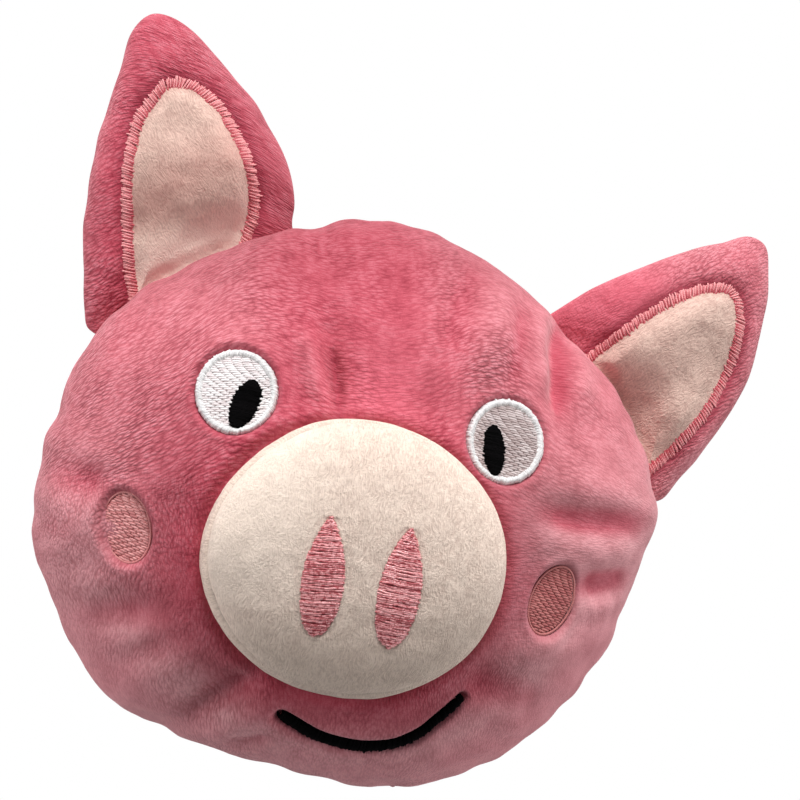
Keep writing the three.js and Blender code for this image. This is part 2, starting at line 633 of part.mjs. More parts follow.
// Share of the way from the middle to the outline at a point
function shareOf(outline, [cx, cy], x, y) {
  const [dx, dy] = [x - cx, y - cy];
  for (let i = 0; i < outline.length; i++) {
    const [ax, ay] = [outline[i][0] - cx, outline[i][1] - cy];
    const next = outline[(i + 1) % outline.length];
    const [ex, ey] = [next[0] - cx - ax, next[1] - cy - ay];
    const cross = dx * ey - dy * ex;
    const reach = (ax * ey - ay * ex) / cross;
    const along = (ax * dy - ay * dx) / cross;
    if (reach > 0 && along >= 0 && along <= 1) return Math.min(1, 1 / reach);
  }
  return 0;
}

function buildEar(ear) {
  const { side, mirror } = ear;
  const { origin, turn, rootArc } = earFrame(ear);
  const place = ([crownward, outward]) => [crownward * mirror * EAR_LENGTH, outward * EAR_LENGTH];
  const middle = place(ear.middle);
  const root = rootArc(CLEARANCE, 0, 1);
  const edge = smoothPath([root[0], ...ear.edge.map(place), root.at(-1)], EAR_STEPS);
  const outline = [...edge, ...root.slice(1, -1).toReversed()];
  const level = (direction, depth) => (x, y, share = shareOf(outline, middle, x, y)) => {
    const taper = THREE.MathUtils.lerp(EAR_ROOT_SHARE, 1, THREE.MathUtils.smoothstep(y, 0, EAR_ROOT_REACH));
    return direction * (HALF_GAP + depth * swell(share, EAR_FULLNESS) * taper);
  };
  const panel = (direction, depth) => loftRound(outline, middle, [
    ...[0, 0.35, 0.62, 0.82, 0.94].map((share) => [share, 0, level(direction, depth)]),
    [1, 0, direction * HALF_GAP],
    [1, EAR_SEAM, direction * HALF_GAP],
    ...[0.85, 0.5, 0].map((share) => [share, EAR_SEAM, level(direction, depth - EAR_PLUSH)]),
  ]);
  const stuffing = (direction, depth) => level(direction, depth - EAR_PLUSH - 2 * CLEARANCE);
  const inset = EAR_SEAM + 2 * CLEARANCE;
  const wadding = loftRound(outline, middle, [
    ...[0, 0.5, 0.85, 1].map((share) => [share, inset, stuffing(1, EAR_FRONT_DEPTH)]),
    ...[1, 0.85, 0.5, 0].map((share) => [share, inset, stuffing(-1, EAR_BACK_DEPTH)]),
  ]);

  const surface = (x, y) => level(1, EAR_FRONT_DEPTH)(x, y);
  const liningRoot = rootArc(CLEARANCE + LINING_ROOT, ...ear.liningEnds);
  const borderEdge = smoothPath([liningRoot[0], ...ear.border.map(place), liningRoot.at(-1)], EAR_STEPS);
  const inward = (distance) => offsetPath(borderEdge, -mirror * distance);
  const liningOutline = [...inward(BORDER_WIDTH + CLEARANCE), ...liningRoot.slice(1, -1).toReversed()];
  const liningTop = CLEARANCE + LINING_THICKNESS;
  const border = ribbon(inward(BORDER_WIDTH / 2), false, () => BORDER_WIDTH, surface,
    liningTop + BORDER_RAISE, CLEARANCE);
  const group = new THREE.Group().add(
    piece(`ear_front_panel_${side}`, 'plush', panel(1, EAR_FRONT_DEPTH)),
    piece(`ear_back_panel_${side}`, 'plush', panel(-1, EAR_BACK_DEPTH)),
    piece(`ear_wadding_${side}`, 'wadding', wadding),
    piece(`ear_lining_${side}`, 'lining',
      patch(liningOutline, place(ear.liningMiddle), surface, liningTop, CLEARANCE)),
    piece(`ear_border_${side}`, 'pinkThread', border),
  );
  group.position.set(origin.x, origin.y, SEAM_LEVEL);
  group.rotation.z = turn;
  return group;
}

export default new THREE.Group().add(buildHead(), buildSnout(), ...EARS.map(buildEar));
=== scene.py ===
"""Looks of the round stuffed pig cushion: plush covers, felt snout, embroidered face and two lined ears.

Lengths in this script are millimetres in the frame of the CAD part, and MM turns them into metres.
"""

import math

import bpy
import numpy as np
from mathutils import Matrix, Vector


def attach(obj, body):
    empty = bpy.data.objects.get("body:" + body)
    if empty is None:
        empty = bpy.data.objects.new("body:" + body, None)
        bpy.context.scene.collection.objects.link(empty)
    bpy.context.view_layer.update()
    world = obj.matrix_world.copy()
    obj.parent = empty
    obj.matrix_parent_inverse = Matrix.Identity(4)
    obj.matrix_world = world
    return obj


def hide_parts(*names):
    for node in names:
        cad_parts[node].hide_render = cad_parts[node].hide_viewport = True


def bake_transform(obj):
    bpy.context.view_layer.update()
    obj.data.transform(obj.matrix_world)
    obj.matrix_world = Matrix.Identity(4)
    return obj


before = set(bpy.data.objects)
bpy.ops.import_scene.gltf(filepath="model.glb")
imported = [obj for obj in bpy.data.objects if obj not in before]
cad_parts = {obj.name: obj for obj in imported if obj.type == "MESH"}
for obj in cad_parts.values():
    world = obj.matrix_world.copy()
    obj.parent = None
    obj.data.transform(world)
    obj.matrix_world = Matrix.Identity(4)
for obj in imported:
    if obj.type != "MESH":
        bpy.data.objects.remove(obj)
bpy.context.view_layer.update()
MM = 0.001

# Head
HEAD_HALF_WIDTH = 38.5
HEAD_HALF_HEIGHT = 35.0
HEAD_WAVES = ((3, 0.6, -113), (4, 0.3, 83), (5, 0.65, 63))  # count, depth, turn in degrees
SEAM_LEVEL = 15.5
FRONT_DEPTH = 20.0
BACK_DEPTH = 16.0
FULLNESS = 2.4
SEAM_VALLEY = 0.9  # how far the stitches pull the seam in
VALLEY_WIDTH = 1.1
GATHERS = 34  # small puckers that the seam draws into both covers
FOLD_FADE = 12  # the higher, the closer to the rim the folds run

CREASE = ((-6.4, 17.0), (-5.8, 15.2), (-5.2, 13.0), (-4.2, 8.6))
PUCKER = ((21.8, 28.0), (22.0, 22.0), (22.1, 16.0))
# Soft folds in the front cover: height (negative is a valley), half width, and the path
FOLDS = (
    (-1.4, 1.8, ((-7.4, 21.2), (-6.3, 17.2), (-5.5, 14.2), (-4.8, 11.2))),
    (-0.8, 2.3, ((10.4, 32.5), (9.0, 28.7), (7.7, 23.8), (7.3, 19.6))),
    (-1.3, 1.8, ((21.6, 27.0), (21.8, 24.1), (22.0, 20.0), (22.1, 16.8))),
    (0.8, 2.0, ((25.8, 25.2), (25.2, 22.0), (25.2, 17.2))),
    (0.8, 2.4, ((23.1, 6.0), (27.0, 6.3), (32.3, 7.0))),
    (-1.1, 2.0, ((23.1, 2.5), (27.0, 2.5), (31.2, 3.2), (36.2, 3.7))),
    (-1.4, 1.6, ((30.0, -5.3), (32.3, -4.6), (35.8, -3.2))),
    (-0.8, 2.6, ((16.6, -18.9), (21.9, -19.8), (27.0, -20.0))),
    (-1.8, 1.8, ((-9.0, -23.4), (-12.5, -26.3), (-15.4, -29.4))),
    (1.1, 1.7, ((-5.8, -25.9), (-8.5, -28.4), (-11.9, -31.5))),
    (-0.9, 2.2, ((-37.3, -2.6), (-33.9, -3.0), (-30.8, -3.3))),
    (-0.7, 2.4, ((-32.7, -21.0), (-28.1, -19.1), (-23.1, -17.5))),
    (-0.7, 2.2, ((-27.7, -26.3), (-23.9, -23.6), (-19.3, -21.0))),
    (0.8, 1.3, ((-9.8, 18.2), (-8.1, 13.4), (-6.4, 10.8))),
    (-0.7, 0.9, CREASE),
    (-0.35, 2.4, ((-13.0, 29.0), (-13.5, 25.0), (-12.5, 21.0))),
    (0.4, 1.6, ((5.6, 28.0), (5.4, 22.0), (5.2, 15.5))),
    (0.45, 1.8, ((13.0, 27.0), (12.8, 22.5), (11.4, 17.5))),
    (-0.6, 1.3, ((16.6, 27.5), (16.0, 18.0))),
    (0.8, 1.2, ((19.6, 28.0), (19.8, 23.0), (20.1, 18.0))),
    (-0.6, 0.9, PUCKER),
    (0.5, 2.0, ((23.5, -1.0), (29.0, -0.9), (35.5, -0.6))),
    (0.5, 1.6, ((30.5, -8.2), (34.5, -6.6))),
    (0.5, 2.0, ((22.0, -15.0), (26.5, -14.0), (31.0, -12.6))),
    (-1.0, 0.9, ((-9.9, -31.2), (-7.6, -30.8), (-5.6, -30.2))),
    (0.4, 2.4, ((-32.5, -16.8), (-27.5, -14.2), (-22.5, -14.0))),
    (-0.5, 1.6, ((-37.0, -9.4), (-34.0, -9.3))),
    (0.3, 2.0, ((-30.8, -24.0), (-26.0, -21.6), (-21.0, -19.8))),
    (0.25, 2.0, ((-24.5, -28.6), (-21.0, -25.4), (-17.0, -22.5))),
    (-0.5, 2.0, ((24.5, -26.6), (20.5, -24.0))),
    (0.4, 2.0, ((17.5, -31.0), (14.5, -28.4))),
)

# Uneven filling along the seam: angle and half width in degrees, rise
BULGES = ((-131, 9, 1.1), (-54, 16, -0.5), (-8, 9, -0.9), (8, 4, 0.6), (48, 4, -0.6), (70, 12, -0.6),
          (107, 4, -0.7), (172, 7, -0.6), (196, 7, 0.9))

# Snout
SNOUT_CENTRE = (0.25, -7.15)
SNOUT_HALF = (17.8, 16.0)
SNOUT_EDGE = 37.7  # height of the snout's seam at its middle
SNOUT_TILT = 0.08  # rise of the seam for each mm towards the forehead
SNOUT_DOME = 7.3
SNOUT_FULLNESS = 2.05
BAND_BULGE = 0.5

# Embroidery: centre, half width, half height, lean in degrees
EYES = {"left": ((-16.9, 10.1), 4.9, 5.2, 0.0), "right": ((16.2, 10.1), 4.9, 5.2, 0.0)}
PUPILS = {"left": ((-15.65, 8.75), 1.75, 3.05, -12.0), "right": ((14.9, 8.7), 1.5, 3.05, 8.0)}
CHEEKS = {"left": ((-26.9, -8.1), 2.9, 4.4, 21.0), "right": ((25.6, -7.8), 2.9, 4.4, -15.0)}
NOSTRILS = {"left": ((-3.75, -10.1), 2.4, 6.9, 3.0), "right": ((5.3, -9.9), 2.45, 7.0, 0.0)}
EYE_RIM = 0.85
FACE_RECESS = 1.15  # how far the backing cloth lies under the tips of the pile
MOUTH_LINE = ((-4.5, -27.0), (0.9, -29.0), (7.0, -29.1), (12.0, -26.9), (16.8, -21.3))
MOUTH_WIDTH = 1.25
MOUTH_END_WIDTH = 0.8

# Ears: points are (across, outward) from the middle of the root's chord
EARS = {
    "left": {
        "origin": (-23.566, 24.155), "across": (0.7784, 0.6278), "ends": (156.0, 111.0),
        "middle": (4.0, 13.0),
        "edge": ((-14.4, 1.6), (-13.1, 4.3), (-10.3, 9.9), (-6.9, 15.2), (-3.1, 20.3), (1.4, 25.0),
                 (6.2, 29.4), (8.4, 31.1), (10.5, 32.0), (12.2, 31.7), (14.0, 29.7), (15.4, 26.1),
                 (16.7, 20.4), (17.5, 14.0), (17.5, 8.0), (15.9, 3.0), (14.5, 0.9)),
        "lining_ends": (0.21, 0.755), "lining_middle": (4.0, 11.0),
        "border": ((-6.6, 4.6), (-4.2, 9.7), (-1.3, 15.2), (2.7, 20.1), (5.9, 22.0), (8.4, 22.8),
                   (11.0, 21.5), (12.8, 17.8), (13.0, 13.0), (12.3, 8.0), (10.6, 4.2)),
        "border_width": 1.5,
        "folds": ((0.8, 3.2, ((0.1, 16.0), (6.1, 13.6), (11.4, 10.6))),
                  (-0.9, 3.0, ((-4.4, 8.8), (1.5, 6.4), (6.9, 3.8)))),
        "hinge": (-26.607, 27.924),
    },
    "right": {
        "origin": (29.706, 17.708), "across": (0.6223, -0.7828), "ends": (10.7, 52.9),
        "middle": (-2.5, 12.0),
        "edge": ((13.8, 2.0), (12.5, 5.5), (10.9, 9.2), (9.3, 12.9), (7.4, 16.1), (5.3, 19.1),
                 (3.0, 21.5), (0.6, 23.9), (-1.9, 25.9), (-5.2, 28.0), (-7.5, 29.0), (-9.0, 28.8),
                 (-10.3, 27.4), (-11.2, 24.6), (-12.1, 21.4), (-13.1, 14.6), (-13.8, 7.6), (-13.6, 3.7)),
        "lining_ends": (0.12, 0.72), "lining_middle": (0.0, 10.5),
        "border": ((9.0, 4.8), (8.1, 7.6), (6.5, 11.7), (4.1, 15.6), (2.3, 17.7), (0.1, 19.6),
                   (-2.1, 21.0), (-4.0, 21.6), (-5.6, 21.1), (-6.8, 19.0), (-7.6, 15.4), (-7.6, 11.5),
                   (-7.2, 7.5), (-6.6, 3.9)),
        "border_width": 1.3,
        "folds": ((0.6, 2.4, ((-4.5, 15.5), (-4.3, 9.0), (-4.0, 2.0))),
                  (-0.8, 2.6, ((2.0, 15.0), (2.0, 9.0), (2.2, 2.0)))),
        "hinge": (33.913, 21.053),
    },
}
EAR_FRONT_DEPTH = 4.2
EAR_BACK_DEPTH = 3.4
EAR_FULLNESS = 2.4
EAR_ROOT_SHARE = 0.4  # of its thickness that an ear has at its root
EAR_ROOT_REACH = 9.0  # from the root to where it is full
LINING_ROOT = -0.9  # the lining and its border run into the seam
SEAM_GAP = 0.03  # half the gap between two covers that meet at a seam
HEAD_RADIUS, SNOUT_RADIUS, EAR_RADIUS = 37, 17, 14  # mean, for spacing rings and measuring from the snout

rng = np.random.default_rng(7)


def add(name, data):
    """New object in the scene."""
    thing = bpy.data.objects.new(name, data)
    bpy.context.scene.collection.objects.link(thing)
    return thing


# Camera: the photograph's angle, from the toy's left and a little below, with the face turned 10 degrees
CAMERA_LEFT, CAMERA_BELOW, FACE_LEAN = 6, 5, 10
CAMERA_DISTANCE, CAMERA_RIGHT, CAMERA_UP = 380, 6.8125, 13.0625
CAMERA_LENS = 136.8


def make_camera():
    left, below = (math.tan(math.radians(degrees)) for degrees in (CAMERA_LEFT, CAMERA_BELOW))
    back = Vector((-left, -below, 1)).normalized()
    roll = math.radians(FACE_LEAN)
    right = Vector((-math.sin(roll), math.cos(roll), 0)).cross(back).normalized()
    up = back.cross(right)
    place = Vector((0, 0, SEAM_LEVEL)) + back * CAMERA_DISTANCE + right * CAMERA_RIGHT + up * CAMERA_UP
    data = bpy.data.cameras.new("camera")
    data.lens, data.sensor_width = CAMERA_LENS, 36
    data.clip_start, data.clip_end = 0.01, 10
    camera = add("camera", data)
    camera.matrix_world = Matrix.Translation(place * MM) @ Matrix((right, up, back)).transposed().to_4x4()
    bpy.context.scene.camera = camera


# Numbers spread smoothly over space
def lattice(ix, iy, iz, seed):
    mixed = (ix * 374761393 + iy * 668265263 + iz * 1440662683 + seed * 974634777) & 0xFFFFFFFF
    mixed = ((mixed ^ (mixed >> 13)) * 1274126177) & 0xFFFFFFFF
    return ((mixed ^ (mixed >> 16)) & 0xFFFF) / 65535.0


def noise(points, size, seed):
    """Smooth noise from -1 to 1 whose swells are about size wide."""
    scaled = np.asarray(points, float) / size
    cell = np.floor(scaled).astype(np.int64)
    part = scaled - cell
    part = part * part * (3 - 2 * part)
    total = np.zeros(scaled.shape[:-1])
    for corner in range(8):
        step = [(corner >> axis) & 1 for axis in range(3)]
        weight = 1.0
        for axis in range(3):
            weight = weight * (part[..., axis] if step[axis] else 1 - part[..., axis])
        total += weight * lattice(*(cell[..., axis] + step[axis] for axis in range(3)), seed)
    return total * 2 - 1


def smoothstep(value, low, high):
    share = np.clip((value - low) / (high - low), 0, 1)
    return share * share * (3 - 2 * share)


def bell(value, width):
    """1 where value is 0, falling to nothing over about twice the width."""
    return np.exp(-((value / width) ** 2))


def spot(xy, centre, widths):
    """1 at a centre, falling to nothing all round."""
    return bell(xy[..., 0] - centre[0], widths[0]) * bell(xy[..., 1] - centre[1], widths[1])


# Points and directions
def stacked(*channels):
    """Arrays and plain numbers as one array of vectors."""
    return np.stack(np.broadcast_arrays(*channels), -1)


def unit(vectors):
    return vectors / np.maximum(np.linalg.norm(vectors, axis=-1, keepdims=True), 1e-9)


def heading(degrees):
    return np.array([math.cos(math.radians(degrees)), math.sin(math.radians(degrees))])


def left_of(vectors):
    """Plane vectors turned a quarter to the left."""
    return np.stack([-vectors[..., 1], vectors[..., 0]], -1)


def on_circle(radius, angle):
    return np.stack([radius * np.cos(angle), radius * np.sin(angle)], -1)


def turned(xy, centre, lean):
    """Points in a frame at centre that leans by some degrees."""
    row = heading(lean)
    return (xy - centre) @ row, (xy - centre) @ left_of(row)


def to_image(xy):
    """Points in the picture's directions, right and up, for the face that leans in it."""
    return turned(xy, (0, 0), FACE_LEAN)


def spline(points, steps):
    """Evenly spaced points on a smooth curve through the given ones."""
    p = np.asarray(points, float)
    last = len(p) - 1
    fine = []
    for t in np.linspace(0, last, 40 * last + 1):
        i = min(int(t), last - 1)
        w = t - i
        a, b, c, d = p[max(i - 1, 0)], p[i], p[i + 1], p[min(i + 2, last)]
        u, v = (c - a) / 2, (d - b) / 2
        fine.append((2 * b - 2 * c + u + v) * w**3 + (3 * c - 3 * b - 2 * u - v) * w**2 + u * w + b)
    return even(np.array(fine), steps)


def even(path, steps):
    lengths = np.concatenate([[0], np.cumsum(np.linalg.norm(np.diff(path, axis=0), axis=1))])
    at = np.linspace(0, lengths[-1], steps + 1)
    return np.stack([np.interp(at, lengths, path[:, k]) for k in range(path.shape[1])], 1)


def closed(path, count):
    """Evenly spaced points round a closed path."""
    return even(np.concatenate([path, path[:1]]), count)[:-1]


def to_path(xy, path):
    """(distance to a path, share along it, side) for each point."""
    best = np.full(xy.shape[:-1], 1e9)
    along = np.zeros(xy.shape[:-1])
    side = np.zeros(xy.shape[:-1])
    spans = len(path) - 1
    for i in range(spans):
        a, d = path[i], path[i + 1] - path[i]
        t = np.clip(((xy - a) @ d) / (d @ d), 0, 1)
        off = xy - (a + t[..., None] * d)
        far = np.hypot(off[..., 0], off[..., 1])
        nearer = far < best
        best = np.where(nearer, far, best)
        along = np.where(nearer, (i + t) / spans, along)
        side = np.where(nearer, np.sign(d[0] * off[..., 1] - d[1] * off[..., 0]), side)
    return best, along, side


def from_oval(xy, centre, half_width, half_height, lean):
    """About how far each point lies outside a leaning oval; inside is negative."""
    u, v = turned(xy, centre, lean)
    return (np.hypot(u / half_width, v / half_height) - 1) * (half_width + half_height) / 2


def oval_path(centre, half_width, half_height, lean, count=200):
    angle = np.linspace(0, 2 * np.pi, count + 1)
    row = heading(lean)
    return (centre + np.outer(half_width * np.cos(angle), row)
            + np.outer(half_height * np.sin(angle), left_of(row)))


# Meshes
def vertex_values(mesh, key):
    values = np.empty(len(mesh.vertices) * 3, np.float32)
    mesh.vertices.foreach_get(key, values)
    return values.reshape(-1, 3)


def place_vertices(mesh, points):
    mesh.vertices.foreach_set("co", (np.asarray(points) * MM).astype(np.float32).ravel())


def mesh_object(name, points, tris, quads, material, attributes):
    mesh = bpy.data.meshes.new(name)
    mesh.vertices.add(len(points))
    place_vertices(mesh, points)
    tris, quads = np.asarray(tris, np.int32).reshape(-1, 3), np.asarray(quads, np.int32).reshape(-1, 4)
    corners = np.concatenate([tris.ravel(), quads.ravel()])
    totals = np.concatenate([np.full(len(tris), 3), np.full(len(quads), 4)])
    mesh.loops.add(len(corners))
    mesh.loops.foreach_set("vertex_index", corners)
    mesh.polygons.add(len(totals))
    mesh.polygons.foreach_set("loop_start", np.concatenate([[0], np.cumsum(totals)[:-1]]).astype(np.int32))
    mesh.polygons.foreach_set("use_smooth", np.ones(len(totals), bool))
    mesh.update(calc_edges=True)
    for key, values in attributes.items():
        layer = mesh.attributes.new(key, "FLOAT_VECTOR", "POINT")
        layer.data.foreach_set("vector", np.asarray(values, np.float32).ravel())
    mesh.materials.append(material)
    return add(name, mesh)


def join(first, *others):
    """One object of several, under the first one's name."""
    bpy.ops.object.select_all(action="DESELECT")
    for thing in (first, *others):
        thing.select_set(True)
    bpy.context.view_layer.objects.active = first
    bpy.ops.object.join()
    return first


def dress(piece, node, body=None):
    """Puts a piece in a CAD node's place, and on a body where one is given."""
    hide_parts(node)
    if body:
        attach(piece, body)


def tube_faces(rings, round_):
    """Faces between rings of vertices, each closed on itself."""
    i = np.arange(round_)
    j = (i + 1) % round_
    k = (np.arange(rings - 1) * round_)[:, None]
    return np.stack([k + i, k + round_ + i, k + round_ + j, k + j], -1).reshape(-1, 4)


def disc_faces(rings, round_, flip):
    """(triangles, quads) over a pole, which is vertex 0, and rings of vertices."""
    i = np.arange(round_)
    tris = np.stack([np.zeros_like(i), 1 + i, 1 + (i + 1) % round_], 1)
    quads = 1 + tube_faces(rings, round_)
    return (tris[:, ::-1], quads[:, ::-1]) if flip else (tris, quads)


def cover(name, material, rim_points, centre, shares, level, shape=None, flip=False, tuck=()):
    """Cover over a disc.

    level(xy, share) gives heights. shape(grid, normals, share) returns moved points and their tone and,
    where they are needed, their hue and a function that combs the cloth coordinates. tuck lists (inset,
    height above the rim) of rings that turn the cloth in at its edge."""
    rim_points, centre, shares = (np.asarray(values, float) for values in (rim_points, centre, shares))
    following = np.roll(rim_points, -1, 0)
    if (rim_points[:, 0] * following[:, 1] - rim_points[:, 1] * following[:, 0]).sum() < 0:
        rim_points = rim_points[::-1]
    round_ = len(rim_points)
    xy = centre + (rim_points - centre)[None] * shares[1:, None, None]
    share = np.broadcast_to(shares[1:, None], xy.shape[:2])
    grid = np.concatenate([xy, level(xy, share)[..., None]], -1)
    pole = np.append(centre, level(centre[None, None], np.zeros((1, 1)))[0, 0])
    spokes = np.concatenate([np.broadcast_to(pole, (1, round_, 3)), grid])
    lengths = np.cumsum(np.linalg.norm(np.diff(spokes, axis=0), axis=-1), 0)
    angle = np.arctan2(rim_points[:, 1] - centre[1], rim_points[:, 0] - centre[0])
    cloth = stacked(centre[0] + lengths * np.cos(angle), centre[1] + lengths * np.sin(angle), 0)
    around = np.roll(grid, -1, 1) - np.roll(grid, 1, 1)
    normals = unit(np.cross(np.gradient(grid, axis=0), around)) * (-1 if flip else 1)
    tone = hue = np.zeros_like(grid)
    if shape:
        grid, tone, *rest = shape(grid, normals, share)
        hue = rest[0] if rest else hue
        cloth = rest[1](cloth) if len(rest) > 1 else cloth
    edge = grid[-1]
    for inset, rise in tuck:
        ring = edge + np.concatenate([unit(centre - rim_points) * inset, np.full((round_, 1), rise)], 1)
        grid = np.concatenate([grid, ring[None]])
        cloth, tone, hue = (np.concatenate([field, field[-1:]]) for field in (cloth, tone, hue))
    fields = {"cloth": cloth, "tone": tone, "hue": hue}
    fields = {key: np.concatenate([value[:1].mean(1), value.reshape(-1, 3)]) for key, value in fields.items()}
    points = np.concatenate([pole[None], grid.reshape(-1, 3)])
    return mesh_object(name, points, *disc_faces(len(grid), round_, flip), material, fields)


def even_shares(radius, height, fullness, count, floor=None):
    """Shares from 0 to 1, evenly spaced along a swelling profile, down to a floor where there is one."""
    s = 1 - (1 - np.linspace(0, 1, 4001)) ** 2
    rise = height * swell(s, fullness)
    if floor is not None:
        rise = np.minimum(rise, floor)
    lengths = np.concatenate([[0], np.cumsum(np.hypot(np.diff(radius * s), np.diff(rise)))])
    return np.interp(np.linspace(0, lengths[-1], count + 1), lengths, s)


# Threads
def threads(name, material, lines, radius, flat=0.8, sides=6, tones=None):
    """One tube for each of some lines (points, normals), pressed flat against the surface."""
    paths, normals = (np.asarray(values, float) for values in lines)
    along = unit(np.gradient(paths, axis=1))
    side = unit(np.cross(normals, along))
    up = np.cross(along, side)
    turn = np.arange(sides) / sides * 2 * np.pi
    ring = (paths[:, :, None] + side[:, :, None] * (radius * np.cos(turn))[:, None]
            + up[:, :, None] * (radius * flat * np.sin(turn))[:, None])
    rows, count = paths.shape[:2]
    steps = np.linalg.norm(np.diff(paths, axis=1), axis=-1)
    length = np.concatenate([np.zeros((rows, 1)), np.cumsum(steps, 1)], 1)
    tones = rng.random(rows) if tones is None else tones
    strand = stacked(length[:, :, None], np.arange(sides) / sides, tones[:, None, None])
    one = np.roll(tube_faces(count, sides)[:, ::-1], 1, 1)
    quads = (np.arange(rows) * count * sides)[:, None, None] + one
    return mesh_object(name, ring.reshape(-1, 3), [], quads, material, {"strand": strand})


def on_surface(xy, surface, rise):
    """(points, normals) at a rise above a surface z = surface(xy)."""
    z = surface(xy)
    step = 0.05
    dx, dy = ((surface(xy + off) - surface(xy - off)) / (2 * step) for off in np.diag([step, step]))
    normal = unit(stacked(-dx, -dy, 1))
    return np.concatenate([xy, z[..., None]], -1) + normal * np.asarray(rise)[..., None], normal


def arched(starts, ends, surface, edge_rise, middle_rise, count, fullness=0.5, wander=0.0):
    """Satin threads from start to end points, arched over the surface and wandering a little sideways."""
    t = np.linspace(0, 1, count)
    xy = starts[:, None] + (ends - starts)[:, None] * t[:, None]
    if wander:
        turn = rng.uniform(0, 2 * np.pi, (2, len(starts), 1))
        sway = 0.6 * np.sin(8 * t + turn[0]) + 0.4 * np.sin(19 * t + turn[1])
        xy = xy + wander * sway[..., None] * left_of(unit(ends - starts))[:, None]
    bow = np.sin(np.pi * t) ** fullness * np.ones((len(starts), 1))
    return on_surface(xy, surface, edge_rise + (middle_rise - edge_rise) * bow)


def fill_rows(centre, half_width, half_height, lean, slope, pitch, stitch, rise, dip):
    """Rows of short stitches over a leaning oval of the face; slope is the angle of the rows in degrees."""
    direction = heading(slope)
    across = left_of(direction)
    reach = max(half_width, half_height)
    shortest, jitter = 0.35, 0.05
    starts, ends = [], []
    fine = np.linspace(-reach, reach, 400)
    for row, v in enumerate(np.arange(-reach, reach, pitch)):
        a, b = turned(across * v + fine[:, None] * direction, (0, 0), lean)
        inside = np.hypot(a / half_width, b / half_height) < 1
        if inside.sum() < 8:
            continue
        low, high = fine[inside][[0, -1]]
        cuts = np.arange(low - stitch * ((row * 0.37) % 1), high, stitch)
        cuts = [low, *[c for c in cuts if low + shortest < c < high - shortest], high]
        for cut, following in zip(cuts, cuts[1:]):
            shift = v + 0.4 * rng.normal(0, jitter, 2)
            starts.append(centre + across * shift[0] + direction * cut)
            ends.append(centre + across * shift[1] + direction * following)
    return arched(np.array(starts), np.array(ends), settled_face, rise - dip, rise, 8, fullness=0.35)


def across_path(path, width, surface, pitch, edge_rise, middle_rise, slant=0.12, jitter=0.05):
    """Satin threads laid across a path; width is a number or a function of the share along it."""
    length = np.linalg.norm(np.diff(path, axis=0), axis=1).sum()
    line = even(path, max(4, round(length / pitch)))
    along = unit(np.gradient(line, axis=0))
    half = width(np.linspace(0, 1, len(line)))[:, None] / 2 if callable(width) else width / 2
    loose = rng.normal(0, jitter, (2, len(line), 1))
    starts = line - left_of(along) * (half + loose[0]) - along * slant
    ends = line + left_of(along) * (half + loose[1]) + along * slant
    return arched(starts, ends, surface, edge_rise, middle_rise, 8)


# Materials
class Signal:
    """Socket of a node tree. Plus, minus, times and divided by add Math or Vector Math nodes."""

    def __init__(self, nodes, socket, vector=False):
        self.nodes, self.socket, self.vector = nodes, socket, vector

    def through(self, operation, other=None):
        inputs = {0: self} if other is None else {0: self, 1: other}
        made = self.nodes.node("VectorMath" if self.vector else "Math", inputs, operation=operation)
        return Signal(self.nodes, made.outputs[0], self.vector)

    def __add__(self, other):
        return self.through("ADD", other)

    def __sub__(self, other):
        return self.through("SUBTRACT", other)

    def __mul__(self, other):
        return self.through("MULTIPLY", other)

    def __truediv__(self, other):
        return self.through("DIVIDE", other)


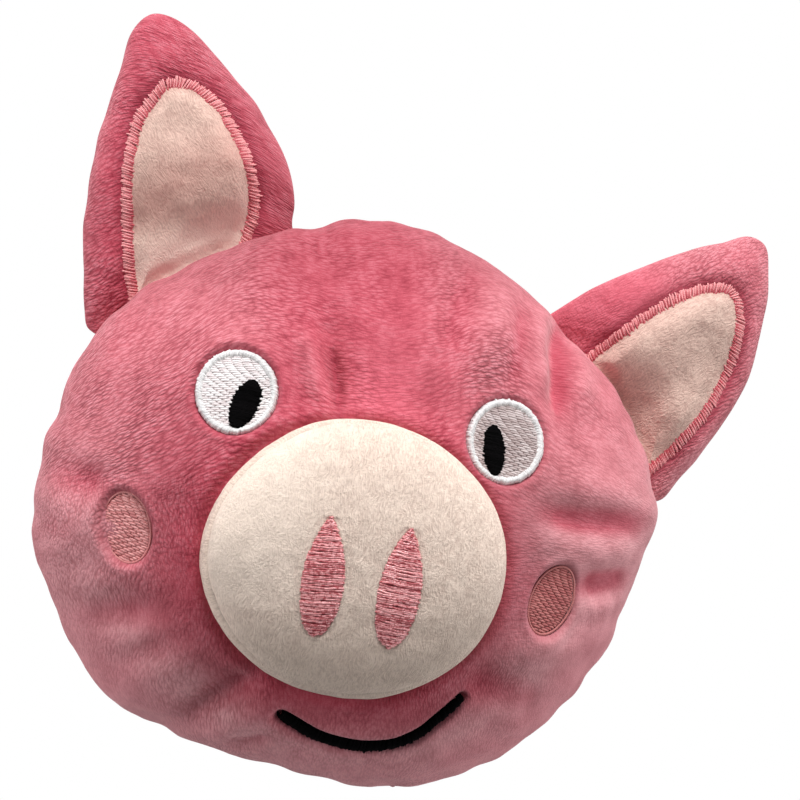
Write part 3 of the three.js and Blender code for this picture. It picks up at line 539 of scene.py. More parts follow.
class Nodes:
    """Emptied node tree of a material or world. Colours are given as red, green and blue."""

    def __init__(self, owner):
        self.owner = owner
        owner.use_nodes = True
        self.tree = owner.node_tree
        self.tree.nodes.clear()

    def put(self, socket, value):
        value = value.socket if isinstance(value, Signal) else value
        if isinstance(value, bpy.types.NodeSocket):
            self.tree.links.new(value, socket)
        else:
            socket.default_value = (*value, 1) if socket.type == "RGBA" else value

    def node(self, kind, inputs=None, **settings):
        made = self.tree.nodes.new("ShaderNode" + kind)
        for key, value in settings.items():
            setattr(made, key, value)
        for key, value in (inputs or {}).items():
            self.put(made.inputs[key], value)
        return made

    def mix_shaders(self, factor, first, second):
        return self.node("MixShader", {0: factor, 1: first.outputs[0], 2: second.outputs[0]}).outputs[0]

    def attribute(self, name):
        return Signal(self, self.node("Attribute", attribute_name=name).outputs["Vector"], True)

    def place(self):
        """Place in the solid's own space, in mm."""
        return Signal(self, self.node("TexCoord").outputs["Object"], True) * (1 / MM, 1 / MM, 1 / MM)

    def split(self, vector):
        return [Signal(self, part) for part in self.node("SeparateXYZ", {0: vector}).outputs]

    def gather(self, x, y, z=0.0):
        return Signal(self, self.node("CombineXYZ", {0: x, 1: y, 2: z}).outputs[0], True)

    def noise(self, vector, scale, detail=2.0, roughness=0.5):
        inputs = {"Vector": vector, "Scale": scale, "Detail": detail, "Roughness": roughness}
        return Signal(self, self.node("TexNoise", inputs).outputs["Fac"])

    def sway(self, vector, scale):
        """Noise of three numbers from -0.5 to 0.5."""
        made = self.node("TexNoise", {"Vector": vector, "Scale": scale, "Detail": 1.0, "Roughness": 0.5})
        return Signal(self, made.outputs["Color"], True) - (0.5, 0.5, 0.5)

    def tufts(self, vector, sizes):
        """(height, tone) of tufts of these sizes: each is highest in its middle and has its own tone."""
        made = self.node("TexVoronoi", {"Vector": vector / sizes, "Scale": 1.0}, voronoi_dimensions="2D")
        return self.ramp(made.outputs["Distance"], 1.0, 0.0, 0.05, 0.8), self.split(made.outputs["Color"])[0]

    def ramp(self, factor, low, high, start=0.0, end=1.0, kind="SMOOTHSTEP"):
        """Factor from start..end mapped to low..high."""
        inputs = {"Value": factor, "From Min": start, "From Max": end, "To Min": low, "To Max": high}
        return Signal(self, self.node("MapRange", inputs, interpolation_type=kind).outputs["Result"])

    def blend(self, factor, a, b):
        return Signal(self, self.node("Mix", {"Factor": factor, 2: a, 3: b}, data_type="FLOAT").outputs[0])

    def mix(self, factor, a, b, blend="MIX"):
        return self.node("Mix", {"Factor": factor, 6: a, 7: b}, data_type="RGBA", blend_type=blend).outputs[2]

    def finish(self, colour, roughness, height, distance, **constants):
        """Material with this colour and roughness, and a bump of this height."""
        bump = self.node("Bump", {"Height": height, "Distance": distance, "Strength": 1.0})
        inputs = {key.replace("_", " "): value for key, value in constants.items()}
        inputs = {"Base Color": colour, "Roughness": roughness, "Normal": bump.outputs["Normal"], **inputs}
        self.node("OutputMaterial", {"Surface": self.node("BsdfPrincipled", inputs).outputs["BSDF"]})
        return self.owner


def plush_material(name, deep, middle, light, painted_lit_red, painted_sheen_pale, painted_sheen_dim):
    """Short-pile velour: broken rows of pile, finer fibres and soft mottling.

    tone holds nap (0 lies in rows, 1 stands in streaks), relief and shade; shade is painted shade that pulls
    the colour towards deep. hue holds painted sheen (a whitish veil painted where light grazes the pile),
    painted shading (above 0 painted shade that darkens; below 0 painted light in a fuller red) and ribs."""
    s = Nodes(bpy.data.materials.new(name))
    cloth = s.attribute("cloth")
    nap, relief, shade = s.split(s.attribute("tone"))
    painted_sheen, painted_shading, ribs = s.split(s.attribute("hue"))
    warped = cloth + s.sway(cloth, 0.11) * (1.8, 1.8, 0.0) + s.sway(cloth, 0.7) * (0.4, 0.22, 0.0)
    lying, lying_tone = s.tufts(warped, (1.0, 0.33, 1.0))
    standing, standing_tone = s.tufts(warped, (0.28, 0.8, 1.0))
    lying_grain = s.noise(warped / (0.5, 0.15, 1.0), 1.0, 2.0, 0.6)
    standing_grain = s.noise(warped / (0.16, 0.5, 1.0), 1.0, 2.0, 0.6)
    pile = s.blend(nap, lying, standing) * 0.55 + s.blend(nap, lying_grain, standing_grain) * 0.45
    fibre = s.noise(warped / (0.20, 0.16, 1.0), 1.0, 2.0, 0.6)
    depth = relief * s.ramp(s.noise(cloth, 0.12, 1.0), 0.6, 1.0, 0.35, 0.65)
    raised = (pile - 0.5) * depth
    rib = (s.split(warped)[0] * 2.9).through("SINE") * ribs
    mottle = s.ramp(s.noise(cloth, 0.28, 2.0), -0.12, 0.12, 0.3, 0.7)
    lit = raised * 0.95 + (fibre - 0.5) * 0.6 + (s.blend(nap, lying_tone, standing_tone) - 0.5) * depth * 0.36
    lit = lit + mottle + rib * 0.04 + 0.5
    colour = s.mix(s.ramp(lit, 0.0, 1.0, 0.0, 0.5, "LINEAR"), deep, middle)
    colour = s.mix(s.ramp(lit, 0.0, 1.0, 0.5, 1.0, "LINEAR"), colour, light)
    # Painted sheen: a whitish veil of light mixed into the colour
    colour = s.mix(painted_sheen, colour, s.mix(s.ramp(lit, 0.0, 1.0, 0.1, 0.9), painted_sheen_dim, painted_sheen_pale))
    # Painted light where painted shading is below 0, painted shade where it is above 0
    colour = s.mix(painted_shading * -1.0, colour, s.mix(lit, middle, painted_lit_red))
    colour = s.mix(painted_shading, colour, s.mix(1.0, colour, (0.52, 0.36, 0.40), "MULTIPLY"))
    # Painted shade pulls the colour towards deep
    return s.finish(s.mix(shade, colour, deep), s.ramp(lit, 0.96, 0.84), raised + fibre * 0.3, 0.00016,
                    Sheen_Weight=0.24, Sheen_Roughness=0.5, Sheen_Tint=(1.0, 0.86, 0.87),
                    Specular_IOR_Level=0.15)


def felt_material(name, low, high, painted_light, speck_and_shade, specks=0.25):
    """Brushed knit: short upright fibres, soft mottling and a few darker specks. Shade above 0 is painted
    shade towards the specks' colour, and shade below 0 is painted light towards a paler colour.
    """
    s = Nodes(bpy.data.materials.new(name))
    cloth = s.attribute("cloth")
    shade = s.split(s.attribute("tone"))[2]
    bent = cloth + s.sway(cloth, 0.4) * (1.4, 1.4, 0.0)
    fibre = s.noise(bent / (0.17, 0.95, 1.0), 1.0, 3.0, 0.62)
    curl = s.noise(bent, 2.6, 3.0, 0.6)
    lit = curl * 0.22 + s.noise(cloth, 0.45, 3.0, 0.6) * 0.26 + fibre * 0.52
    colour = s.mix(s.ramp(lit, 0.0, 1.0, 0.40, 0.58), low, high)
    dots = s.ramp(s.noise(cloth / (0.3, 0.5, 1.0), 1.0, 1.0), 0.0, specks, 0.66, 0.76)
    # Painted shade towards the specks' colour, and painted light where shade is below 0
    colour = s.mix(shade, s.mix(dots, colour, speck_and_shade), speck_and_shade)
    colour = s.mix(shade * -1.0, colour, painted_light)
    return s.finish(colour, s.ramp(lit, 0.98, 0.86), fibre * 0.6 + curl * 0.5, 0.00026, Sheen_Weight=0.15,
                    Sheen_Roughness=0.5, Sheen_Tint=(1.0, 0.95, 0.9), Specular_IOR_Level=0.15)


def thread_material(name, dark, light, roughness=0.38, shine=0.5, painted_glints=0.0, outward=0.0):
    """Two-ply embroidery thread: slanted plies, a slightly different tone for each strand, painted glints as
    bright streaks along the strands, and painted light that makes strands paler towards their outer ends."""
    s = Nodes(bpy.data.materials.new(name))
    along, round_, strand = s.split(s.attribute("strand"))
    twist = 0.55  # length of one turn
    ply = ((along / twist + round_) * (4 * math.pi)).through("SINE") * 0.5 + 0.5
    fuzz = s.noise(s.gather(along * 4.0, round_ * 9.0, strand * 40.0), 1.0, 2.0, 0.6)
    tone = fuzz * 0.42 + strand * 0.42 + ply * 0.16
    # Painted glints: bright and dark streaks along each strand
    if painted_glints:
        tone = tone + (s.noise(s.gather(along * 2.6, strand * 90.0), 1.0, 1.0) - 0.5) * painted_glints
    # Painted light: strands paler towards their outer ends
    if outward:
        tone = tone + (along - 0.75) * outward
    colour = s.mix(s.ramp(tone, 0.0, 1.0, 0.2, 0.75), dark, light)
    return s.finish(colour, s.ramp(tone, roughness + 0.12, roughness - 0.06), ply * 0.5 + fuzz, 0.00003,
                    Specular_IOR_Level=shine)


def loose_material(name, low, high, size, depth):
    """Wadding, backing or chopped root, from noise through the solid's own space."""
    s = Nodes(bpy.data.materials.new(name))
    place = s.place()
    cells = Signal(s, s.node("TexVoronoi", {"Vector": place, "Scale": 0.8 / size}).outputs["Distance"])
    tone = s.noise(place, 1 / size, 4.0, 0.65) * 0.7 + cells * 0.4
    return s.finish(s.mix(s.ramp(tone, 0.0, 1.0, 0.2, 0.8), low, high), s.ramp(tone, 0.95, 0.8), tone, depth)


def woven_material(name, low, high, pitch):
    s = Nodes(bpy.data.materials.new(name))
    place = s.place()
    warp, weft = ((part * (2 * math.pi / pitch)).through("SINE") for part in s.split(place)[:2])
    weave = warp * weft * 0.5 + 0.5
    tone = weave * 0.7 + s.noise(place, 1.5, 3.0) * 0.3
    return s.finish(s.mix(tone, low, high), s.ramp(tone, 0.95, 0.85), weave, 0.0001)


# Plush colours: deep, middle and light pile, then painted light in a fuller red and the light and dim ends of
# the painted sheen
PINK = plush_material("plush", (0.33, 0.030, 0.055), (0.58, 0.097, 0.137), (0.77, 0.218, 0.276),
                      (0.80, 0.13, 0.20), (0.83, 0.385, 0.415), (0.545, 0.205, 0.225))
# Felt colours: low and high, then painted light, and the specks' colour that also serves as painted shade
FELT = felt_material("velour", (0.70, 0.54, 0.455), (0.94, 0.765, 0.65), (1.0, 0.85, 0.73),
                     (0.30, 0.24, 0.19))
LINING = felt_material("lining", (0.60, 0.39, 0.33), (0.82, 0.58, 0.49), (0.96, 0.72, 0.62),
                       (0.50, 0.20, 0.17), specks=0.15)
WHITE_THREAD = thread_material("white_thread", (0.72, 0.70, 0.70), (0.93, 0.92, 0.92), 0.42, 0.4)
# The right eye's fill thread is a darker copy of the white thread: painted shade
EYE_THREAD = {
    "left": thread_material("eye_thread_left", (0.86, 0.76, 0.76), (1.0, 0.96, 0.96), 0.42, 0.4),
    "right": thread_material("eye_thread_right_painted_shade", (0.46, 0.35, 0.34), (0.76, 0.66, 0.65), 0.5, 0.3),
}
BLACK_THREAD = thread_material("black_thread", (0.0005, 0.0005, 0.0005), (0.003, 0.0025, 0.003), 0.7, 0.03)
NOSE_THREAD = thread_material("nose_thread", (0.48, 0.06, 0.075), (1.0, 0.45, 0.46), 0.26, 1.0, painted_glints=1.5)
# Dark red sheet under the nostril satin: painted shade that shows between the threads
NOSE_SHADE_SHEET = loose_material("nose_painted_shade", (0.48, 0.07, 0.085), (0.62, 0.13, 0.14), 0.4, 0.00005)
# The right cheek's thread is a darker, duller copy of the left one: painted shade
CHEEK_THREAD = {
    "left": thread_material("cheek_thread_left", (0.62, 0.21, 0.21), (0.94, 0.44, 0.43), 0.42, 0.4),
    "right": thread_material("cheek_thread_right_painted_shade", (0.46, 0.13, 0.13), (0.60, 0.22, 0.21), 0.6, 0.2),
}
BORDER_THREAD = thread_material("border_thread", (0.56, 0.08, 0.105), (0.90, 0.37, 0.38), 0.5, 0.3,
                                painted_glints=0.5, outward=0.4)
SEAM_THREAD = thread_material("seam_thread", (0.50, 0.14, 0.15), (0.82, 0.34, 0.34))
BACKING = loose_material("backing", (0.45, 0.20, 0.21), (0.62, 0.36, 0.36), 0.4, 0.00005)
WADDING = loose_material("wadding", (0.62, 0.61, 0.58), (0.88, 0.88, 0.86), 1.6, 0.0006)
SACHET = woven_material("sachet", (0.55, 0.52, 0.45), (0.82, 0.79, 0.71), 0.7)
ROOT = loose_material("valerian", (0.10, 0.065, 0.035), (0.36, 0.26, 0.15), 1.3, 0.0008)


# Head surfaces
def head_rim(angle):
    radius = HEAD_HALF_WIDTH * HEAD_HALF_HEIGHT / np.hypot(HEAD_HALF_HEIGHT * np.cos(angle),
                                                         HEAD_HALF_WIDTH * np.sin(angle))
    for count, depth, turn in HEAD_WAVES:
        radius = radius + depth * np.cos(count * angle - math.radians(turn))
    return radius


def head_outline(count):
    angle = np.linspace(0, 2 * np.pi, count, endpoint=False)
    return on_circle(head_rim(angle), angle)


def swell(share, fullness):
    return np.sqrt(np.clip(1 - np.clip(share, 0, 1) ** fullness, 0, 1))


def share_of(xy):
    return np.hypot(xy[..., 0], xy[..., 1]) / head_rim(np.arctan2(xy[..., 1], xy[..., 0]))


def front_level(xy, share=None):
    return SEAM_LEVEL + FRONT_DEPTH * swell(share_of(xy) if share is None else share, FULLNESS)


def back_level(xy, share):
    """Rounded back, pressed against what it lies on; the edge of the flat patch stays round."""
    height = SEAM_LEVEL - BACK_DEPTH * swell(share, FULLNESS)
    return 0.25 * np.logaddexp(0, height / 0.25)


def gathers():
    """(angle, width, depth, reach) of the puckers round the seam."""
    angles = (np.arange(GATHERS) + rng.uniform(-0.36, 0.36, GATHERS)) / GATHERS * 2 * np.pi
    return list(zip(angles, rng.uniform(1.0, 2.0, GATHERS), rng.uniform(0.06, 0.26, GATHERS),
                    rng.uniform(5, 13, GATHERS)))


PUCKERS = gathers()


def seam_shape(grid, share):
    """Rise of a cover near the seam: the seam's own valley, the bulges beside it and the puckers."""
    angle = np.arctan2(grid[..., 1], grid[..., 0])
    rim = head_rim(angle)
    rise = np.abs(grid[..., 2] - SEAM_LEVEL)
    inset = rim - np.hypot(grid[..., 0], grid[..., 1]) + 0.35 * rise
    pull = -SEAM_VALLEY * bell(rise, VALLEY_WIDTH) * (share > 0.9)
    for place, width, height in BULGES:
        off = (np.degrees(angle) - place + 180) % 360 - 180
        pull += height * bell(off, width) * smoothstep(share, 0.55, 0.95)
    for place, width, depth, reach in PUCKERS:
        off = np.abs((angle - place + np.pi) % (2 * np.pi) - np.pi) * rim
        wide = width * (1 + inset / 9)
        fade = 1 - smoothstep(inset, 0.5, reach)
        pull -= depth * (bell(off, wide) - 0.35 * bell(off - 2 * wide, wide)) * fade
    return pull


def beside(xy, path):
    """(signed distance from a fold's path, 1 along it and less at its ends)."""
    far, along, side = to_path(xy, spline(path, 9))
    return far * side, smoothstep(along, -0.2, 0.2) * (1 - smoothstep(along, 0.85, 1.2))


def front_folds(xy):
    rise = np.zeros(xy.shape[:-1])
    for height, width, path in FOLDS:
        far, fade = beside(xy, path)
        rise += height * fade * bell(far, width)
    return rise * (1 - np.clip(share_of(xy), 0, 1) ** FOLD_FADE)


def broad_lumps(points):
    """Uneven filling."""
    return 0.35 * noise(points, 11, 3) + 0.22 * noise(points, 5, 4)


def lumps(points):
    """Uneven filling and the unevenness of the pile itself."""
    return broad_lumps(points) + 0.08 * noise(points, 2.2, 5) + 0.03 * noise(points, 0.9, 6)


def recesses(xy):
    """(depth below the pile's tips, brim, how near an embroidered edge) for points of the face."""
    outside = np.full(xy.shape[:-1], 1e9)
    for oval in [*EYES.values(), *CHEEKS.values()]:
        outside = np.minimum(outside, from_oval(xy, *oval))
    far, along, _ = to_path(xy, spline(MOUTH_LINE, 30))
    outside = np.minimum(outside, far - np.interp(along, [0, 0.7, 1], [0.62, 0.55, 0.4]))
    sunk = FACE_RECESS * (1 - smoothstep(outside, -0.45, 0.6))
    return sunk, 0.12 * bell(outside - 0.9, 0.6), bell(outside, 0.45)


def snout_share(xy):
    off = (xy - SNOUT_CENTRE) / SNOUT_HALF
    return np.hypot(off[..., 0], off[..., 1])


def front_shape(grid, normals, share):
    xy = grid[..., :2]
    folds = front_folds(xy)
    sunk, brim, edge = recesses(xy)
    from_snout = (snout_share(xy) - 1) * SNOUT_RADIUS
    base = 0.35 * bell(from_snout - 1.6, 1.2) - 0.5 * bell(from_snout, 0.9)
    raised = folds + lumps(grid) - sunk + brim + base + seam_shape(grid, share)
    moved = grid + normals * raised[..., None]
    moved[..., 2] = np.maximum(moved[..., 2], SEAM_LEVEL + SEAM_GAP)
    return moved, *front_pile(grid, share, folds, edge, from_snout), combed_face


def front_pile(grid, share, folds, edge, from_snout):
    """(tone, hue) of the front cover. The pile's direction and tone change with right and up, in the
    picture's directions, and at places of the face given in the part's own. Shade, painted sheen and painted
    shading are painted light and shade."""
    xy = grid[..., :2]
    right, up = to_image(xy)
    low = smoothstep(-up, -14, 8)
    low_rim = smoothstep(share, 0.7, 0.93) * smoothstep(-up, 5, 20)
    between_eyes = spot(xy, (0.5, 13), (5, 5))
    crease, crease_fade = beside(xy, CREASE)
    pucker, pucker_fade = beside(xy, PUCKER)

    streaked = np.maximum(smoothstep(-up, 2, 18), smoothstep(-right, 13, 22) * smoothstep(-up, -8, 4))
    nap = np.clip(0.95 * streaked * (0.6 + 0.4 * smoothstep(-right, -20, 0)) + 0.2 * noise(grid, 9, 11), 0, 1)

    relief = 0.88 + 0.3 * noise(grid, 10, 12) - 0.5 * spot(xy, (1, 21), (8, 7))
    relief += 0.5 * spot(xy, (13, 19), (4.5, 5)) + 0.35 * spot(xy, (-5, 12), (7, 4))
    relief += 0.3 * smoothstep(-right, 8, 16) * smoothstep(up, -8, 4)
    relief -= 0.25 * smoothstep(-up, 12, 22) + 0.3 * smoothstep(right, 18, 24)

    # Painted shade round the embroidered edges, beside the snout, in the crease, in fold valleys and beside
    # the pucker
    shade = 0.3 * edge + 0.5 * bell(from_snout, 1.3) + 0.3 * crease_fade * bell(crease, 0.9)
    shade = np.clip(shade + 0.16 * np.clip(-folds, 0, 1.2) * smoothstep(-up, -6, 10), 0, 0.8)
    shade += 0.32 * pucker_fade * smoothstep(pucker, -0.2, 0.2) * bell(pucker - 0.4, 1.2)

    # Painted sheen on the slopes farther from the snout, most on the lower ones, and on fold ridges, less in
    # fold valleys; painted light on the lower rim, between the eyes, beside the pucker and low on the left
    painted_sheen = smoothstep(from_snout + 4 * smoothstep(right, 4, 16), 1, 16 - 3 * low) * (0.35 + 0.65 * low)
    painted_sheen *= np.maximum(smoothstep(np.abs(right), 5, 16), low)
    painted_sheen += 0.3 * np.clip(folds, 0, 1) * smoothstep(up, 0, 8)
    painted_sheen = np.clip((0.8 + 0.22 * smoothstep(right, 8, 18)) * painted_sheen * (1 + 0.25 * noise(grid, 8, 15)), 0, 1)
    painted_sheen = painted_sheen * (1 - 0.85 * np.clip(-1.3 * folds, 0, 1)) + 0.5 * low_rim + 0.15 * between_eyes
    painted_sheen += 0.4 * pucker_fade * bell(pucker + 0.9, 0.9) + 0.45 * spot(xy, (-17, -26), (6, 6))

    # Painted shade above 0: beside the snout, along the top and in two patches on the right; painted light
    # below 0: on the lower rim, between the eyes and along the pucker
    painted_shading = 0.42 * bell(np.clip(from_snout - 3, 0, None), 6) * smoothstep(-up, -10, 0)
    painted_shading = np.maximum(painted_shading, 0.5 * smoothstep(up, 21, 31)) - 0.25 * low_rim - 0.6 * between_eyes
    painted_shading += 0.22 * spot(xy, (20, -4), (4, 7)) + 0.3 * spot(xy, (14, 19), (5, 5))
    painted_shading -= 0.35 * pucker_fade * smoothstep(pucker, -0.25, 0.25) * bell(pucker, 1.8)

    ribs = smoothstep(up, 4, 12) * (1 - smoothstep(np.abs(right), 10, 22))
    return stacked(nap, np.clip(relief, 0.2, 1.5), shade), stacked(painted_sheen, np.clip(painted_shading, -1, 1), ribs)


def combed_face(cloth):
    """Cloth coordinates in which the rows of pile arch over the eyes."""
    across, along = to_image(cloth[..., :2])
    arch = 0.006 * np.clip(np.abs(across) - 5, 0, None) ** 2 * smoothstep(along, -12, 2)
    arch -= 4.5 * (bell(across - 18, 8) + bell(across + 13, 9)) * smoothstep(along, -8, 22)
    return stacked(across, along + arch, 0)


def back_shape(grid, normals, share):
    free = smoothstep(grid[..., 2], 0.2, 4.0)
    moved = grid + normals * (seam_shape(grid, share) + free * lumps(grid) - 0.05)[..., None]
    highest = np.where(share > 0.985, SEAM_LEVEL - SEAM_GAP, np.inf)
    moved[..., 2] = np.clip(moved[..., 2], 0.02, highest)
    nap = np.clip(0.4 + 0.5 * noise(grid, 9, 13), 0, 1)
    relief = np.clip(0.7 + 0.4 * noise(grid, 12, 14), 0.2, 1.3)
    # Painted sheen: a whitish veil that varies at random over the back
    painted_sheen = np.clip(0.4 + 0.3 * noise(grid, 10, 16), 0, 1)
    return moved, stacked(nap, relief, 0), stacked(painted_sheen, 0, 0)


def settled_face(xy):
    """Height of the backing under the embroidery: the smooth front with its broad lumps."""
    level = front_level(xy)
    return level + broad_lumps(np.concatenate([xy, level[..., None]], -1)) + front_folds(xy)


def build_head():
    shares = even_shares(HEAD_RADIUS, FRONT_DEPTH, FULLNESS, 150)
    front = cover("head_cover_front", PINK, head_outline(600), (0, 0), shares, front_level, front_shape,
                  tuck=((1.2, 0.1), (3.5, 0.12), (6.0, 0.12)))
    shares = even_shares(HEAD_RADIUS, BACK_DEPTH, FULLNESS, 100, floor=SEAM_LEVEL)
    back = cover("head_cover_back", PINK, head_outline(480), (0, 0), shares, back_level, back_shape,
                 flip=True, tuck=((1.2, -0.1), (3.5, -0.12), (6.0, -0.12)))
    for piece, node in ((front, "head_front_panel"), (back, "head_back_panel")):
        dress(piece, node, "head")


# Snout
def snout_seam(xy):
    return SNOUT_EDGE + SNOUT_TILT * (xy[..., 1] - SNOUT_CENTRE[1])


def snout_level(xy, share=None):
    share = snout_share(xy) if share is None else share
    return snout_seam(xy) + SEAM_GAP + SNOUT_DOME * swell(share, SNOUT_FULLNESS)


def snout_outline(count):
    """An oval, a little flatter at its upper left."""
    angle = np.linspace(0, 2 * np.pi, count, endpoint=False)
    a, b = SNOUT_HALF
    radius = a * b / np.hypot(b * np.cos(angle), a * np.sin(angle))
    radius -= 0.8 * bell(angle - math.radians(150), 0.5)
    return SNOUT_CENTRE + on_circle(radius, angle)


def leaf(side):
    """(row heights, half widths) of a nostril: round below, pointed above."""
    _, half_width, half_height, _ = NOSTRILS[side]
    t = np.linspace(-1, 1, 41)
    widest = -0.12
    low = np.sqrt(np.clip(1 - ((t - widest) / (1 + widest)) ** 2, 0, 1))
    high = np.clip(1 - ((t - widest) / (1 - widest)) ** 2, 0, 1) ** 0.85
    return t * half_height, half_width * np.where(t < widest, low, high)


def leaf_depth(xy, side):
    """How far inside a nostril each point is."""
    centre, _, _, lean = NOSTRILS[side]
    u, v = turned(xy, centre, lean)
    return np.interp(v, *leaf(side), left=-1, right=-1) - np.abs(u)


def snout_shape(grid, normals, share):
    xy = grid[..., :2]
    lump = 0.16 * noise(grid, 7, 21) + 0.07 * noise(grid, 2.5, 22) + 0.03 * noise(grid, 0.9, 23)
    inside = np.maximum(leaf_depth(xy, "left"), leaf_depth(xy, "right"))
    seat = -0.45 * smoothstep(inside, -0.3, 0.5) - 0.12 * bell(inside + 0.4, 0.5)
    above_seam = grid[..., 2] - snout_seam(xy)
    edge = -0.35 * bell(above_seam, 0.5) * (share > 0.9)
    left = SNOUT_CENTRE[0] - xy[..., 0]
    _, up = to_image(xy - SNOUT_CENTRE)
    # Painted shade along the seam and darker towards the bottom; below 0, painted light on the snout's left
    # side
    shade = 0.35 * bell(above_seam, 0.22) * (share > 0.95) + 0.26 * smoothstep(-up, 2, 15)
    shade = np.clip(shade - 0.5 * smoothstep(left, 2, 12) * smoothstep(up, -9, -1), -0.5, 0.7)
    return grid + normals * (lump + seat + edge)[..., None], stacked(0, 1, shade)


def build_snout():
    rings, round_ = 30, 360
    rim = snout_outline(round_)
    shares = even_shares(SNOUT_RADIUS, SNOUT_DOME, SNOUT_FULLNESS, 80)
    front = cover("snout_cover", FELT, rim, SNOUT_CENTRE, shares, snout_level, snout_shape,
                  tuck=((0.8, 0.1), (2.5, 0.12)))
    outward = unit(rim - SNOUT_CENTRE)
    low, high = front_level(rim) - 0.9, snout_seam(rim) - SEAM_GAP
    t = np.linspace(0, 1, rings)[:, None]
    z = low + (high - low) * t
    points = stacked(rim[:, 0], rim[:, 1], z)
    out = BAND_BULGE * 4 * t * (1 - t) + 0.5 * bell(t, 0.12) - 0.35 * bell(high - z, 0.5)
    out = out + 0.14 * noise(points, 6, 24) + 0.05 * noise(points, 1.8, 25)
    points[..., :2] += outward * out[..., None]
    arc = np.abs(np.arctan2(outward[:, 1], outward[:, 0])) * SNOUT_RADIUS
    _, up = to_image(rim - SNOUT_CENTRE)
    # Painted shade just under the seam and darker towards the bottom of the band
    shade = 0.4 * bell(high - z, 0.25) + 0.26 * smoothstep(-up, 2, 15)
    band = mesh_object("snout_band", points.reshape(-1, 3), [], tube_faces(rings, round_)[:, ::-1], FELT,
                       {"cloth": stacked(arc, z, 0), "tone": stacked(0, 1, shade)})
    for piece, node in ((front, "snout_front_panel"), (band, "snout_side_band")):
        dress(piece, node, "head")
    for side in NOSTRILS:
        build_nostril(side)


def build_nostril(side):
    centre, half_width, half_height, lean = NOSTRILS[side]
    heights, widths = leaf(side)
    rows = np.arange(-half_height + 0.1, half_height - 0.05, 0.2)
    half = np.interp(rows, heights, widths)[:, None]
    axis, row = left_of(heading(lean)), heading(lean + (4 if side == "left" else -1))
    middles = centre + rows[:, None] * axis
    reach = half + 0.05 + rng.uniform(-0.12, 0.14, (2, len(rows), 1))
    wobble = rng.normal(0, 0.05, (2, len(rows), 1))
    starts, ends = middles - row * reach[0] + axis * wobble[0], middles + row * reach[1] + axis * wobble[1]
    up = np.concatenate([np.linspace(-1, 1, 31), np.linspace(1, -1, 31)[1:-1]])[:, None] * half_height
    out = np.interp(up, heights, widths) * np.where(np.arange(60) < 31, 1, -1)[:, None]
    rim = centre + 0.98 * up * axis + 0.97 * out * heading(lean)
    # Sheet of painted shade under the threads
    base = cover(f"nostril_satin_{side}", NOSE_SHADE_SHEET, rim, centre, np.linspace(0, 1, 10),
                 lambda xy, share: snout_level(xy) - 0.12)
    middle_rise = np.interp(half, [0, half_width], [0.1, 0.25]) + rng.uniform(-0.03, 0.03, (len(rows), 1))
    lines = arched(starts, ends, snout_level, edge_rise=-0.3, middle_rise=middle_rise, count=21, fullness=0.6,
                   wander=0.07)
    satin = join(base, threads(f"nostril_rows_{side}", NOSE_THREAD, lines, radius=0.135, flat=0.9))
    dress(satin, f"nostril_{side}", "head")


# Embroidered face
def oval_base(name, centre, half_width, half_height, lean, rise):
    """Backing that shows between the stitches of a filled oval."""
    rim = oval_path(centre, half_width, half_height, lean, 72)[:-1]
    return cover(name, BACKING, rim, centre, np.linspace(0, 1, 14), lambda xy, share: settled_face(xy) + rise)


def build_eye(side):
    centre, half_width, half_height, lean = EYES[side]
    inner = half_width - EYE_RIM * 0.7, half_height - EYE_RIM * 0.7
    base = oval_base(f"eye_fill_{side}", centre, inner[0] + 0.2, inner[1] + 0.2, lean, rise=-1.0)
    lines = fill_rows(centre, *inner, lean, slope=8 if side == "left" else -4, pitch=0.27, stitch=1.15,
                      rise=-0.36, dip=0.24)
    fill = join(base, threads(f"eye_rows_{side}", EYE_THREAD[side], lines, radius=0.14))
    line = oval_path(centre, half_width - EYE_RIM / 2, half_height - EYE_RIM / 2, lean)
    lines = across_path(line, EYE_RIM, settled_face, pitch=0.17, edge_rise=-0.7, middle_rise=-0.1)
    rim = threads(f"eye_satin_{side}", WHITE_THREAD, [values[:-1] for values in lines], radius=0.13, flat=0.9)

    centre, half_width, half_height, lean = PUPILS[side]
    heights = np.arange(-half_height + 0.1, half_height, 0.16)[:, None]
    half = 0.95 * half_width * np.sqrt(np.clip(1 - (heights / half_height) ** 2, 0, 1))
    row = heading(-4)
    middles = centre + heights * left_of(heading(lean))
    half = half + rng.uniform(-0.1, 0.16, (2, len(heights), 1))
    lines = arched(middles - row * half[0], middles + row * half[1], settled_face, edge_rise=-0.5,
                   middle_rise=-0.08, count=11, fullness=0.45, wander=0.04)
    pupil = threads(f"pupil_satin_{side}", BLACK_THREAD, lines, radius=0.14, flat=0.9)
    dress(fill, f"eye_white_{side}", "head")
    dress(rim, f"eye_rim_{side}", "head")
    dress(pupil, f"pupil_{side}", "head")


def build_cheek(side):
    centre, half_width, half_height, lean = CHEEKS[side]
    base = oval_base(f"cheek_fill_{side}", centre, half_width, half_height, lean, rise=-1.05)
    slope = -14 if side == "left" else -8
    lines = fill_rows(centre, half_width - 0.25, half_height - 0.25, lean, slope, pitch=0.28, stitch=1.1,
                      rise=-0.66, dip=0.22)
    fill = join(base, threads(f"cheek_rows_{side}", CHEEK_THREAD[side], lines, radius=0.16))
    line = even(oval_path(centre, half_width - 0.1, half_height - 0.1, lean), 90)
    line = [values[None] for values in on_surface(line, settled_face, -0.6)]
    rim = threads(f"cheek_line_{side}", CHEEK_THREAD[side], line, radius=0.15)
    dress(fill, f"cheek_{side}", "head")
    dress(rim, f"cheek_rim_{side}", "head")


